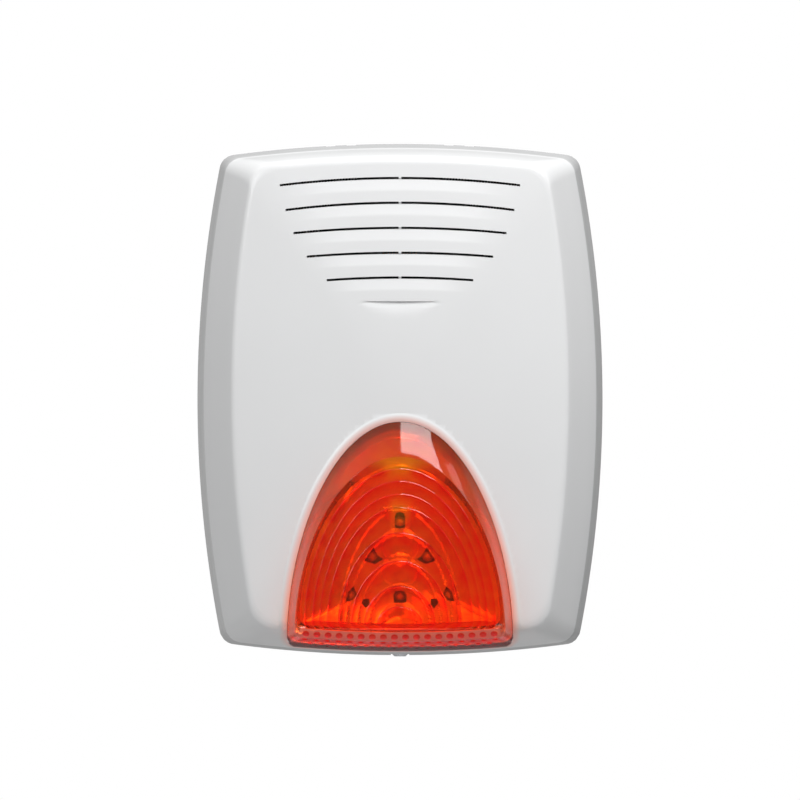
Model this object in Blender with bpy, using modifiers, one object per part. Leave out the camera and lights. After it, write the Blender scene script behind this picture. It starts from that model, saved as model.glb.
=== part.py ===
"""Outdoor alarm siren with a flasher: wall box, hinged cover, horn, battery, boards and tamper switches.

Frame: the wall is the plane y = 0, the front faces -Y, +X is to the right and +Z is up. A depth is a
distance from the wall, so a point at depth d has y = -d. All lengths are in metres.
"""

import math

import bmesh
import bpy
from mathutils import Matrix, Vector

# ---------------------------------------------------------------- general
GAP = 0.0003                # clearance left between neighbouring pieces
WALL = 0.0025               # wall of the moulded shells
ROUND_STEPS = 24            # sides of a round piece
SCREW_STEPS = 12            # sides of a small screw
HOLE_STEPS = 8              # sides of a small hole
OVERCUT = 0.0020            # how far a cutter reaches past a face
WELD = 0.0010               # how deep a joined piece is sunk in its neighbour
DEPTH_TURN = Matrix.Rotation(math.pi / 2, 4, "X")   # turns local +Z to point out of the wall
WALL_TURN = Matrix.Rotation(-math.pi / 2, 4, "X")   # turns local +Z to point at the wall

# ---------------------------------------------------------------- screws
# head radius, head height, shank radius, shank length
BOARD_SCREW = (0.0028, 0.0018, 0.0012, 0.0045)
HORN_SCREW = (0.0032, 0.0022, 0.0013, 0.0100)
STRAP_SCREW = (0.0030, 0.0018, 0.0012, 0.0090)
LED_BOARD_SCREW = (0.0024, 0.0014, 0.0012, 0.0080)
LENS_SCREW = (0.0024, 0.0014, 0.0009, 0.0050)
BOARD_HOLE = 0.0016         # radius of a board's screw holes
SHEET_HOLE = 0.0017         # radius of the holes in the strap and the horn's flange
PILOT_HOLE = 0.0015         # radius of the bores in the board and strap posts
HORN_PILOT_HOLE = 0.0018
SMALL_PILOT_HOLE = 0.0012   # radius of the bores for the lens and reflector screws
PILOT_DEPTH = 0.0120

# ---------------------------------------------------------------- cover: a barrel-sided shell
SIDE_ARC = 0.620            # radius of the bowed sides, seen from the front
END_ARC = 0.650             # radius of the bowed top and bottom edges
# Stations of the outer surface, from the rear rim to the crown of the front:
# half width, top, bottom, corner radius, depth
COVER_STATIONS = (
    (0.1030, 0.1300, -0.1300, 0.008, 0.0020),
    (0.0997, 0.1276, -0.1282, 0.009, 0.0460),
    (0.0976, 0.1264, -0.1274, 0.010, 0.0505),
    (0.0865, 0.1230, -0.1200, 0.013, 0.0685),
    (0.0835, 0.1190, -0.1145, 0.016, 0.0712),
    (0.0620, 0.0880, -0.0840, 0.026, 0.0746),
    (0.0340, 0.0460, -0.0460, 0.022, 0.0762),
)
SIDE_STEPS = 5
CORNER_STEPS = 4
END_STEPS = 5

# Sound slots: half length, height at the middle and height at the ends
SOUND_SLOTS = (
    (0.0607, 0.1124, 0.1087),
    (0.0580, 0.0999, 0.0961),
    (0.0540, 0.0872, 0.0845),
    (0.0473, 0.0745, 0.0725),
    (0.0371, 0.0620, 0.0606),
)
SLOT_HEIGHT = 0.0012
SLOT_BRIDGE = 0.0009        # half of the web left at the middle of each slot
SLOT_STEPS = 5
SLOT_CUT = (0.064, 0.080)   # depths between which the slots are cut

# Screen behind the slots, staked on four posts of the cover
SCREEN_DEPTH = 0.0665
SCREEN_THICKNESS = 0.0008
SCREEN_POST = 0.0014
SCREEN_POSTS = ((-0.0585, 0.1040), (0.0585, 0.1040), (-0.0580, 0.0620), (0.0580, 0.0620))
SCREEN_OUTLINE = (0.0640, 0.1160, 0.0560, 0.0060)
SCREEN_OPENING = (0.0150, 0.0042)       # half width and half height of an opening
SCREEN_ROWS = (0.0665, 0.0790, 0.0915, 0.1040)
SCREEN_COLUMNS = (-0.0340, 0.0, 0.0340)

# ---------------------------------------------------------------- flasher lens
# Rings of the lens, from its rim in the cover to the front: half width, apex, foot, corner radius, depth
LENS_EDGE = (0.0570, -0.0114, -0.1272, 0.0045)
LENS_RINGS = (
    (0.0530, -0.0287, -0.1215, 0.0035, 0.0850),
    (0.0460, -0.0420, -0.1195, 0.0030, 0.0865),
    (0.0300, -0.0680, -0.1190, 0.0030, 0.0880),
    (0.0130, -0.1000, -0.1185, 0.0020, 0.0890),
)
LENS_WALL = 0.0022
LENS_SEAT = 0.0492          # depth of the lens's rear edge at its foot
LENS_FIT = 0.00035          # play between the lens and its opening
ARCH_POWER = 1.1            # flattens the shoulders of the arch
ARCH_STEPS = 9
FOOT_STEPS = 4
EAR_HEIGHTS = (-0.048, -0.098)
EAR_REACH = 0.0095          # how far a screw ear stands out of the lens wall
EAR_DROP = 0.0049           # ear's front face, behind the cover's outer surface
EAR_THICKNESS = 0.0020
EAR_HEIGHT = 0.0080
EAR_TIP = 0.0032            # from an ear's screw to its end
EAR_HOLE = 0.0014
EAR_BOSS = 0.0030           # radius of the cover's boss over an ear
BOSS_SUNK = 0.0015          # how far a boss of the cover ends below the outer surface
SEAL_RADIUS = 0.0008
SEAL_OFFSET = 0.0016        # from the lens's edge to the middle of the seal
SEAL_DROP = 0.0013          # from the cover's inner face to the middle of the seal

# ---------------------------------------------------------------- wall box
BOX_HALF_WIDTH = 0.0972
BOX_TOP = 0.1213
BOX_BOTTOM = -0.1243
BOX_CORNER = 0.007
BOX_DEPTH = 0.0220
FIXING_SLOTS = ((-0.070, 0.104), (0.070, 0.104), (-0.066, -0.110), (0.066, -0.110))
FIXING_WIDTH = 0.0052
FIXING_LENGTH = 0.0120
CABLE_ENTRY = (-0.067, 0.076)
CABLE_ENTRY_RADIUS = 0.0095
GROMMET_FRONT = 0.0046
GROMMET_REAR = 0.0004
GROMMET_WALL = 0.0030
GROMMET_LIP = 0.0020
FLOOR_CUT = 0.0060          # depth to which cutters pass through the floor
STRAP_FOOT = 0.0180         # depth of the strap's feet
BOARD_POST = 0.0035
HORN_POST = 0.0040
STRAP_POST = 0.0034

# ---------------------------------------------------------------- hinge at the top of the box
HINGE_DEPTH = 0.0045
HINGE_HEIGHT = 0.1263
HINGE_X = 0.030
PIN_RADIUS = 0.0010
PIN_HOLE = 0.0013
KNUCKLE_RADIUS = 0.0023
KNUCKLE_HALF = 0.0028
LUG_NEAR = 0.0032           # lug faces, measured from the middle of the hinge
LUG_FAR = 0.0062
NOTCH_SIDE = 0.0004         # room beside a lug in the cover's notch, towards the knuckle
NOTCH_REACH = 0.0014        # and on its other side, where the pin's end stands out
PIN_END = 0.0006            # how far a pin stands out of its lug
KNUCKLE_ROOT = 0.0018       # height of the knuckles' roots above the hinge axis
NOTCH_SIZE = 0.0100         # depth and height of a notch
NOTCH_CENTRE = (0.0030, 0.0015)         # its depth, and its height above the hinge axis
LUG_SPANS = [(side * HINGE_X + edge * LUG_NEAR, side * HINGE_X + edge * LUG_FAR)
             for side in (-1, 1) for edge in (-1, 1)]
KNUCKLE_SPANS = [(side * HINGE_X - KNUCKLE_HALF, side * HINGE_X + KNUCKLE_HALF) for side in (-1, 1)]

# ---------------------------------------------------------------- cover screw at the bottom
SCREW_DEPTH = 0.0150
SCREW_SHANK = 0.0020
SCREW_HEAD = 0.0042
SCREW_SEAT = -0.1276        # underside of the lip that the head clamps
SCREW_TIP = -0.1150
SCREW_HEAD_HEIGHT = 0.0025
SCREW_BLOCK_TOP = -0.1120
SCREW_BLOCK_WIDTH = 0.0160
SCREW_BLOCK_DEPTHS = (0.0020, 0.0210)
LIP_SLOT = (0.0048, 0.0200, 0.0100)     # cut in the lip for the shank: width, depth, height
LIP_SLOT_CENTRE = (0.0074, -0.1270)     # depth and height
RECESS_SIZE = (0.0094, 0.0280, 0.0040)  # cut in the lip for the head
RECESS_CENTRE = (0.0057, -0.1296)

# ---------------------------------------------------------------- horn and driver
HORN_HEIGHT = 0.0760
HORN_MOUTH = 0.0400
HORN_THROAT = 0.0090
HORN_REAR = 0.0270
HORN_FRONT = 0.0630
HORN_FLANGE = 0.0415
HORN_SCREW_CIRCLE = 0.0375
DRIVER_RADIUS = 0.0315
DRIVER_REAR = 0.0040
DRIVER_WALL = 0.0020
DRIVER_BEVEL = 0.0100       # width of the driver's slanted rear edge
DRIVER_BORE = 0.0040
HORN_WALL = 0.0020
FLANGE_THICKNESS = 0.0028
# Share of the horn's growth reached at a share of its length
HORN_GROWTH = ((0.0, 0.0), (0.25, 0.08), (0.5, 0.23), (0.75, 0.50), (0.92, 0.80), (1.0, 1.0))
MAGNET_RADIUS = 0.0240
MAGNET_FRONT = 0.0180
# Half of the diaphragm's section: radius, depth
DIAPHRAGM = ((0.0, 0.0245), (0.009, 0.0238), (0.017, 0.0212), (0.028, 0.0212), (0.028, 0.0206),
             (0.017, 0.0206), (0.009, 0.0230), (0.0, 0.0236))

# ---------------------------------------------------------------- boards, battery and flasher
BOARD_HALF = (0.075, 0.022)
BOARD_HEIGHT = 0.012
BOARD_DEPTH = 0.0080
BOARD_THICKNESS = 0.0016
BOARD_SCREW_INSET = 0.004
# Box-shaped components: name, size, place, rounding of the edges
TERMINAL_BLOCK = ("terminal_block", (0.0460, 0.0110, 0.0085), -0.038, 0.0255, 0.0006)
BATTERY_CONNECTOR = ("battery_connector", (0.0130, 0.0080, 0.0070), -0.050, -0.001, 0.0004)
FLASHER_CONNECTOR = ("flasher_connector", (0.0090, 0.0080, 0.0060), 0.012, -0.002, 0.0004)
TRANSFORMER = ("audio_transformer", (0.0220, 0.0190, 0.0180), 0.052, 0.014, 0.0010)
RELAY = ("siren_relay", (0.0155, 0.0140, 0.0105), 0.028, 0.004, 0.0006)
CHIP = ("controller_chip", (0.0100, 0.0030, 0.0180), -0.004, 0.014, 0.0)
CAPACITOR_SIZE = (0.0063, 0.0210)
CAPACITOR_PLACE = (-0.0260, 0.0040)
CAPACITOR_BEVEL = 0.0008
BATTERY_SIZE = (0.178, 0.035, 0.060)
BATTERY_DEPTH = 0.0040
BATTERY_HEIGHT = -0.0540
BATTERY_ROUNDING = 0.0015
TAB_SIZE = (0.0048, 0.0008, 0.0064)
TAB_X = 0.0800
STRAP_X = 0.026
STRAP_WIDTH = 0.014
STRAP_THICKNESS = 0.0010
STRAP_REACH = 0.0072        # from the battery's edge to a strap screw
STRAP_END = 0.0040          # from a strap screw to the strap's end
LED_BOARD_DEPTH = 0.0500
LED_BOARD_OUTLINE = (0.0420, -0.0080, -0.1120, 0.0040)
REFLECTOR_RIM = (0.0500, -0.0200, -0.1150, 0.0040, 0.0680)
REFLECTOR_FLOOR = (0.0445, -0.0270, -0.1115, 0.0040, 0.0570)
REFLECTOR_WALL = 0.0016
REFLECTOR_PEGS = ((-0.031, -0.070), (0.031, -0.070))
LED_PLACES = ((0.0, -0.062), (-0.0137, -0.0796), (0.0137, -0.0796), (0.0, -0.100), (-0.0240, -0.099),
              (0.0240, -0.099))
LED_RADIUS = 0.0025
LED_LENGTH = 0.0080
LED_PLAY = 0.0005           # room round a lamp in the reflector's floor
PEG_RADIUS = 0.0026
PEG_SUNK = 0.0008           # how far a peg reaches into the reflector's floor
PEG_SOCKET = 0.0042         # depth of the bore in a peg
FLASHER_POSTS = ((0.0, -0.0155), (-0.034, -0.1060), (0.034, -0.1060))

# ---------------------------------------------------------------- tamper switches
TAMPER_X = 0.071
TAMPER_HEIGHT = -0.0930
SWITCH_SIZE = (0.018, 0.011, 0.010)
SWITCH_REST = 0.0180        # depth of the front switch's seat
PLUNGER_RADIUS = 0.0018
PLUNGER_HOLE = 0.0022
PLUNGER_STAND = 0.0045      # how far a plunger stands out of its switch
PLUNGER_SUNK = 0.0050       # how much of a plunger is inside its switch
PLUNGER_TIP = 0.7           # radius of a plunger's tip, as a share of its own
PLUNGER_BEVEL = 0.0006
PLUNGER_BOSS = 0.0035       # radius of the cover's boss over the front plunger
PLUNGER_WINDOW = 0.0030     # radius of the hole in the floor for the rear plunger
WALL_PLAY = 0.0002          # what the rear plunger leaves free before the wall
SOCKET_SPARE = 0.0032       # room below a plunger in its switch
SWITCH_BLOCK = (0.0200, 0.0120)
FRONT_PLUNGER_TOP = SWITCH_REST + SWITCH_SIZE[1] + PLUNGER_STAND

# ---------------------------------------------------------------- leads
LEAD_RADIUS = 0.0009
LEAD_SOCKET = (0.0141, -0.0048)         # depth and height of the battery leads' ends


# ---------------------------------------------------------------- collections, materials, objects
def clear_scene():
    """Remove whatever is in the scene."""
    for obj in list(bpy.data.objects):
        bpy.data.objects.remove(obj, do_unlink=True)


def new_collection(name):
    """A collection linked to the scene."""
    collection = bpy.data.collections.new(name)
    bpy.context.scene.collection.children.link(collection)
    return collection


def finish_material(name, color, roughness, metallic=0.0):
    """A Principled material of one colour."""
    material = bpy.data.materials.new(name)
    material.use_nodes = True
    shader = material.node_tree.nodes["Principled BSDF"]
    shader.inputs["Base Color"].default_value = (*color, 1.0)
    shader.inputs["Roughness"].default_value = roughness
    shader.inputs["Metallic"].default_value = metallic
    return material


def add_object(name, data, finish=None):
    """An object for a finished piece, or for a cutter when it has no finish."""
    obj = bpy.data.objects.new(name, data)
    if finish is None:
        CUTTERS.objects.link(obj)
        obj.hide_render = True
        obj.display_type = "WIRE"
    else:
        PARTS.objects.link(obj)
        data.materials.append(finish)
    return obj


def mesh_object(name, shape, finish=None, smooth=False):
    """An object from a bmesh, which is freed."""
    mesh = bpy.data.meshes.new(name)
    shape.to_mesh(mesh)
    shape.free()
    if smooth:
        mesh.shade_smooth()
        mesh.set_sharp_from_angle(angle=math.radians(35))
    return add_object(name, mesh, finish)


def boolean(target, tool, operation):
    """Cut a tool out of a piece, or join it on."""
    modifier = target.modifiers.new(tool.name, "BOOLEAN")
    modifier.operation = operation
    modifier.solver = "EXACT"
    modifier.object = tool


# ---------------------------------------------------------------- shapes
def point(x, depth, z):
    """A place given by its depth from the wall."""
    return Vector((x, -depth, z))


def add_box(shape, size, centre):
    """A box in a bmesh; size and centre are given as x, depth, z."""
    turn = Matrix.Translation(point(*centre)) @ Matrix.Diagonal((*size, 1.0))
    bmesh.ops.create_cube(shape, size=1.0, matrix=turn)


def box(name, size, centre, finish=None, bevel=0.0):
    """A box, with its edges rounded where a bevel is given."""
    shape = bmesh.new()
    add_box(shape, size, (0.0, 0.0, 0.0))
    obj = mesh_object(name, shape, finish)
    obj.location = point(*centre)
    if bevel:
        rounding = obj.modifiers.new("Rounded edges", "BEVEL")
        rounding.width = bevel
        rounding.segments = 2
    return obj


def add_rod(shape, radius, start, end, steps=ROUND_STEPS):
    """A cylinder in a bmesh between two places."""
    run = end - start
    turn = Matrix.Translation((start + end) / 2) @ run.to_track_quat("Z", "Y").to_matrix().to_4x4()
    bmesh.ops.create_cone(shape, cap_ends=True, segments=steps, radius1=radius, radius2=radius,
                          depth=run.length, matrix=turn)


def rods(name, radius, runs, finish=None, steps=ROUND_STEPS):
    """One object with a cylinder along each run."""
    shape = bmesh.new()
    for start, end in runs:
        add_rod(shape, radius, start, end, steps)
    return mesh_object(name, shape, finish, smooth=finish is not None)


def turned(name, profile, place, finish=None, steps=ROUND_STEPS, turn=DEPTH_TURN):
    """A turned piece. The profile holds radius and height, down its outer side from the top."""
    mesh = bpy.data.meshes.new(name)
    places = [(radius, 0.0, height) for radius, height in profile]
    closed = profile[0][0] > 0
    edges = [(index, index + 1) for index in range(len(places) - 1)]
    if closed:
        edges.append((len(places) - 1, 0))
    mesh.from_pydata(places, edges, [])
    obj = add_object(name, mesh, finish)
    obj.matrix_world = Matrix.Translation(place) @ turn
    screw = obj.modifiers.new("Turning", "SCREW")
    screw.steps = steps
    screw.render_steps = steps
    screw.use_merge_vertices = True
    screw.merge_threshold = 0.00001
    screw.use_smooth_shade = False
    return obj


def arc(centre, radius, start, stop, steps):
    """Points along an arc, both ends included."""
    angles = [start + (stop - start) * index / steps for index in range(steps + 1)]
    return [Vector((centre[0] + radius * math.cos(a), centre[1] + radius * math.sin(a))) for a in angles]


def corner_centre(half_width, half_height, corner):
    """Centre of the corner circle that touches a side arc and an end arc from inside."""
    side = Vector((half_width - SIDE_ARC, 0.0))
    end = Vector((0.0, half_height - END_ARC))
    span = end - side
    along = ((SIDE_ARC - corner) ** 2 - (END_ARC - corner) ** 2 + span.length_squared) / (2 * span.length)
    across = math.sqrt((SIDE_ARC - corner) ** 2 - along ** 2)
    unit = span.normalized()
    return side + unit * along + Vector((-unit.y, unit.x)) * across


def barrel_outline(half_width, top, bottom, corner):
    """The bowed rectangle of the housing, anticlockwise seen from the front, from its right middle."""
    half_height = (top - bottom) / 2
    side = Vector((half_width - SIDE_ARC, 0.0))
    end = Vector((0.0, half_height - END_ARC))
    centre = corner_centre(half_width, half_height, corner)
    low = math.atan2(centre.y, centre.x - side.x)
    high = math.atan2(centre.y - end.y, centre.x)
    quarter = arc(side, SIDE_ARC, 0.0, low, SIDE_STEPS)
    quarter += arc(centre, corner, low, high, CORNER_STEPS)[1:]
    quarter += arc(end, END_ARC, high, math.pi / 2, END_STEPS)[1:]
    ring = list(quarter)
    ring += [Vector((-p.x, p.y)) for p in reversed(quarter[:-1])]
    ring += [Vector((-p.x, -p.y)) for p in quarter[1:]]
    ring += [Vector((p.x, -p.y)) for p in reversed(quarter[1:-1])]
    middle = Vector((0.0, (top + bottom) / 2))
    return [p + middle for p in ring]


def inside_barrel(x, z, half_width, top, bottom, corner):
    """Whether a place on the front is inside a barrel outline."""
    half_height = (top - bottom) / 2
    x = abs(x)
    z = abs(z - (top + bottom) / 2)
    if math.hypot(x - half_width + SIDE_ARC, z) > SIDE_ARC:
        return False
    if math.hypot(x, z - half_height + END_ARC) > END_ARC:
        return False
    centre = corner_centre(half_width, half_height, corner)
    beyond = x > centre.x and z > centre.y
    return not beyond or math.hypot(x - centre.x, z - centre.y) <= corner


def station(place):
    """A station of the cover between two listed ones."""
    index = min(int(place), len(COVER_STATIONS) - 2)
    share = place - index
    near, far = COVER_STATIONS[index], COVER_STATIONS[index + 1]
    return [a + (b - a) * share for a, b in zip(near, far)]


def cover_depth(x, z):
    """Depth of the cover's outer surface at a place on the front."""
    low, high = 0.0, float(len(COVER_STATIONS) - 1)
    for _ in range(20):
        middle = (low + high) / 2
        if inside_barrel(x, z, *station(middle)[:4]):
            low = middle
        else:
            high = middle
    return station(low)[4]


def foot_height(x, foot):
    """The foot of the lens bows like the cover's bottom edge."""
    return foot + x * x / (2 * END_ARC)


def arch_outline(half_width, apex, foot, corner):
    """The bullet outline of the flasher, anticlockwise seen from the front, from its right foot."""
    turn_x = half_width - corner
    spring = foot_height(turn_x, foot) + corner
    right = []
    for index in range(ARCH_STEPS + 1):
        angle = math.pi / 2 * index / ARCH_STEPS
        rise = max(math.sin(angle), 0.0) ** ARCH_POWER
        right.append(Vector((half_width * math.cos(angle), spring + (apex - spring) * rise)))
    right[-1].x = 0.0
    ring = right + [Vector((-p.x, p.y)) for p in reversed(right[:-1])]
    ring += arc((-turn_x, spring), corner, math.pi, math.pi * 1.5, 3)[1:]
    for index in range(1, 2 * FOOT_STEPS):
        x = turn_x * (index / FOOT_STEPS - 1)
        ring.append(Vector((x, foot_height(x, foot))))
    ring += arc((turn_x, spring), corner, math.pi * 1.5, math.pi * 2, 3)[:-1]
    return ring


def loft(name, rings, finish=None, close_rear=False, close_front=False):
    """Faces between rings of equal count, from the rear ring to the front one."""
    shape = bmesh.new()
    rows = [[shape.verts.new(place) for place in ring] for ring in rings]
    for rear, front in zip(rows, rows[1:]):
        for index in range(len(rear)):
            after = (index + 1) % len(rear)
            shape.faces.new((rear[index], rear[after], front[after], front[index]))
    if close_rear:
        shape.faces.new(list(reversed(rows[0])))
    if close_front:
        shape.faces.new(rows[-1])
    return mesh_object(name, shape, finish)


def flat_ring(outline, depth):
    """An outline placed at one depth."""
    return [point(p.x, depth, p.y) for p in outline]


def thicken(obj, thickness):
    """Give an open surface its wall, on its inner side."""
    wall = obj.modifiers.new("Wall", "SOLIDIFY")
    wall.thickness = thickness
    wall.offset = -1.0
    wall.use_even_offset = True


def plate(name, outlines, depth, thickness, finish=None):
    """A flat plate from closed outlines, the first its edge and the others its holes."""
    curve = bpy.data.curves.new(name, "CURVE")
    curve.dimensions = "2D"
    curve.fill_mode = "BOTH"
    curve.extrude = thickness / 2
    for outline in outlines:
        spline = curve.splines.new("POLY")
        spline.points.add(len(outline) - 1)
        for knot, place in zip(spline.points, outline):
            knot.co = (place.x, place.y, 0.0, 1.0)
        spline.use_cyclic_u = True
    obj = add_object(name, curve, finish)
    obj.matrix_world = Matrix.Translation(point(0.0, depth + thickness / 2, 0.0)) @ DEPTH_TURN
    return obj


def tube(name, places, radius, finish, steps=3):
    """A round lead through a list of places, smoothed into a curve."""
    route = smooth_route(places, steps)
    curve = bpy.data.curves.new(name, "CURVE")
    curve.dimensions = "3D"
    curve.bevel_depth = radius
    curve.bevel_resolution = 1
    curve.use_fill_caps = True
    spline = curve.splines.new("POLY")
    spline.points.add(len(route) - 1)
    for knot, place in zip(spline.points, route):
        knot.co = (*place, 1.0)
    return add_object(name, curve, finish)


def smooth_route(places, steps):
    """A Catmull-Rom curve through the places, as points."""
    knots = [2 * places[0] - places[1], *places, 2 * places[-1] - places[-2]]
    route = []
    for a, b, c, d in zip(knots, knots[1:], knots[2:], knots[3:]):
        for step in range(steps):
            t = step / steps
            route.append(0.5 * (2 * b + (c - a) * t + (2 * a - 5 * b + 4 * c - d) * t ** 2
                                + (3 * b - a - 3 * c + d) * t ** 3))
    route.append(places[-1])
    return route


def rectangle(half_x, half_z, x, z):
    """A rectangular outline about a centre."""
    return [Vector((x + sx * half_x, z + sz * half_z)) for sx, sz in ((1, 1), (-1, 1), (-1, -1), (1, -1))]


def circle(radius, x, z, steps=SCREW_STEPS):
    """A round outline about a centre."""
    return arc((x, z), radius, 0.0, 2 * math.pi, steps)[:-1]


def screw(name, place, turn, size, finish):
    """A screw whose head stands on the place."""
    head, height, shank, length = size
    profile = ((0.0, height), (head * 0.8, height), (head, height * 0.45), (head, 0.0), (shank, 0.0),
               (shank, -length), (0.0, -length))
    return turned(name, profile, place, finish, SCREW_STEPS, turn)


def hang_on(pivot, pieces):
    """Parent pieces to an empty without moving them."""
    for piece in pieces:
        piece.parent = pivot
        piece.matrix_parent_inverse = Matrix.Translation(-pivot.location)


# ---------------------------------------------------------------- wall box and hinge
def make_wall_box(finish):
    """The tray on the wall, with its posts, hinge lugs, screw block, fixing slots and openings."""
    outline = barrel_outline(BOX_HALF_WIDTH, BOX_TOP, BOX_BOTTOM, BOX_CORNER)
    tray = loft("back_box", [flat_ring(outline, 0.0), flat_ring(outline, BOX_DEPTH)], finish, close_rear=True)
    thicken(tray, WALL)

    floor = WALL - WELD
    posts = bmesh.new()
    for x, z in flasher_and_board_posts():
        height = LED_BOARD_DEPTH if (x, z) in FLASHER_POSTS else BOARD_DEPTH
        add_rod(posts, BOARD_POST, point(x, floor, z), point(x, height - GAP, z), SCREW_STEPS)
    for x, z in horn_screw_places():
        add_rod(posts, HORN_POST, point(x, floor, z), point(x, HORN_REAR - GAP, z), SCREW_STEPS)
    for x, z in strap_screw_places():
        add_rod(posts, STRAP_POST, point(x, floor, z), point(x, STRAP_FOOT - GAP, z), SCREW_STEPS)
    seat_depth = SWITCH_REST - GAP
    seat_size = (SWITCH_BLOCK[0], seat_depth - floor, SWITCH_BLOCK[1])
    add_box(posts, seat_size, (-TAMPER_X, (seat_depth + floor) / 2, TAMPER_HEIGHT))
    rear, front = SCREW_BLOCK_DEPTHS
    low = BOX_BOTTOM + WELD
    add_box(posts, (SCREW_BLOCK_WIDTH, front - rear, SCREW_BLOCK_TOP - low),
            (0.0, (rear + front) / 2, (SCREW_BLOCK_TOP + low) / 2))
    boolean(tray, mesh_object("box_posts", posts), "UNION")

    boolean(tray, hinge_leaves("hinge_lugs", LUG_SPANS, BOX_TOP - WELD), "UNION")

    holes = bmesh.new()
    for x, z in FIXING_SLOTS:
        add_slot(holes, x, z)
    for x, z in flasher_and_board_posts():
        height = LED_BOARD_DEPTH if (x, z) in FLASHER_POSTS else BOARD_DEPTH
        add_rod(holes, PILOT_HOLE, point(x, max(height - PILOT_DEPTH, WALL + WELD), z),
                point(x, height + OVERCUT, z), HOLE_STEPS)
    for x, z in horn_screw_places():
        add_rod(holes, HORN_PILOT_HOLE, point(x, HORN_REAR - PILOT_DEPTH, z),
                point(x, HORN_REAR + OVERCUT, z), HOLE_STEPS)
    for x, z in strap_screw_places():
        add_rod(holes, PILOT_HOLE, point(x, STRAP_FOOT - PILOT_DEPTH, z),
                point(x, STRAP_FOOT + OVERCUT, z), HOLE_STEPS)
    entry_x, entry_z = CABLE_ENTRY
    add_rod(holes, CABLE_ENTRY_RADIUS, point(entry_x, -OVERCUT, entry_z), point(entry_x, FLOOR_CUT, entry_z))
    add_rod(holes, PLUNGER_WINDOW, point(TAMPER_X, -OVERCUT, TAMPER_HEIGHT),
            point(TAMPER_X, FLOOR_CUT, TAMPER_HEIGHT), SCREW_STEPS)
    add_rod(holes, SCREW_SHANK + GAP, point(0.0, SCREW_DEPTH, SCREW_SEAT - OVERCUT),
            point(0.0, SCREW_DEPTH, SCREW_TIP + OVERCUT), SCREW_STEPS)
    boolean(tray, mesh_object("box_holes", holes), "DIFFERENCE")

    reach = LUG_FAR + OVERCUT
    bores = [(point(side * HINGE_X - reach, HINGE_DEPTH, HINGE_HEIGHT),
              point(side * HINGE_X + reach, HINGE_DEPTH, HINGE_HEIGHT)) for side in (-1, 1)]
    boolean(tray, rods("lug_bores", PIN_HOLE, bores, steps=SCREW_STEPS), "DIFFERENCE")
    return tray


def add_slot(shape, x, z):
    """A vertical slot with round ends, as a cutter through the box's floor."""
    reach = (FIXING_LENGTH - FIXING_WIDTH) / 2
    ends = arc((x, z + reach), FIXING_WIDTH / 2, 0.0, math.pi, 5)
    ends += arc((x, z - reach), FIXING_WIDTH / 2, math.pi, 2 * math.pi, 5)
    rear = [shape.verts.new(point(p.x, -OVERCUT, p.y)) for p in ends]
    front = [shape.verts.new(point(p.x, FLOOR_CUT, p.y)) for p in ends]
    for index in range(len(ends)):
        after = (index + 1) % len(ends)
        shape.faces.new((rear[index], rear[after], front[after], front[index]))
    shape.faces.new(list(reversed(rear)))
    shape.faces.new(front)


def hinge_leaves(name, spans, lower):
    """Leaves that stand round the hinge axis and reach down or up to a given height."""
    shape = bmesh.new()
    for start, stop in spans:
        half = arc((0.0, 0.0), KNUCKLE_RADIUS, 0.0, math.pi, 6)
        if lower > HINGE_HEIGHT:
            half = arc((0.0, 0.0), KNUCKLE_RADIUS, math.pi, 2 * math.pi, 6)
        drop = lower - HINGE_HEIGHT
        outline = [*half, Vector((half[-1].x, drop)), Vector((half[0].x, drop))]
        near = [shape.verts.new(point(start, HINGE_DEPTH + p.x, HINGE_HEIGHT + p.y)) for p in outline]
        far = [shape.verts.new(point(stop, HINGE_DEPTH + p.x, HINGE_HEIGHT + p.y)) for p in outline]
        for index in range(len(outline)):
            after = (index + 1) % len(outline)
            shape.faces.new((near[index], near[after], far[after], far[index]))
        shape.faces.new(list(reversed(near)))
        shape.faces.new(far)
    bmesh.ops.recalc_face_normals(shape, faces=shape.faces)
    return mesh_object(name, shape)


def flasher_and_board_posts():
    """Where the flasher board and the main board are screwed down."""
    return [*FLASHER_POSTS, *board_screw_places()]


def board_screw_places():
    """Four screws at the corners of the main board."""
    reach_x = BOARD_HALF[0] - BOARD_SCREW_INSET
    reach_z = BOARD_HALF[1] - BOARD_SCREW_INSET
    return [(sx * reach_x, BOARD_HEIGHT + sz * reach_z) for sx in (-1, 1) for sz in (-1, 1)]


def horn_screw_places():
    """Three screws round the horn's flange."""
    turn = 4 * math.pi / 3
    return [(p.x, p.y) for p in arc((0.0, HORN_HEIGHT), HORN_SCREW_CIRCLE, math.pi / 2, math.pi / 2 + turn, 2)]


def strap_screw_places():
    """Two screws for the battery strap, above and below the battery."""
    reach = BATTERY_SIZE[2] / 2 + STRAP_REACH
    return [(STRAP_X, BATTERY_HEIGHT + sz * reach) for sz in (-1, 1)]


def make_hinge_pins(finish):
    """A pin through each pair of lugs."""
    reach = LUG_FAR + PIN_END
    for side, name in ((-1, "hinge_pin_left"), (1, "hinge_pin_right")):
        ends = (point(side * HINGE_X - reach, HINGE_DEPTH, HINGE_HEIGHT),
                point(side * HINGE_X + reach, HINGE_DEPTH, HINGE_HEIGHT))
        rods(name, PIN_RADIUS, [ends], finish, SCREW_STEPS)


def make_cable_grommet(finish):
    """A rubber ring in the cable entry, with a lip inside the box."""
    inner = CABLE_ENTRY_RADIUS - GROMMET_WALL
    neck = CABLE_ENTRY_RADIUS - GAP
    lip = CABLE_ENTRY_RADIUS + GROMMET_LIP
    profile = ((lip, GROMMET_FRONT), (lip, WALL + GAP), (neck, WALL + GAP), (neck, GROMMET_REAR),
               (inner, GROMMET_REAR), (inner, GROMMET_FRONT))
    turned("cable_grommet", profile, point(CABLE_ENTRY[0], 0.0, CABLE_ENTRY[1]), finish)


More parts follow.
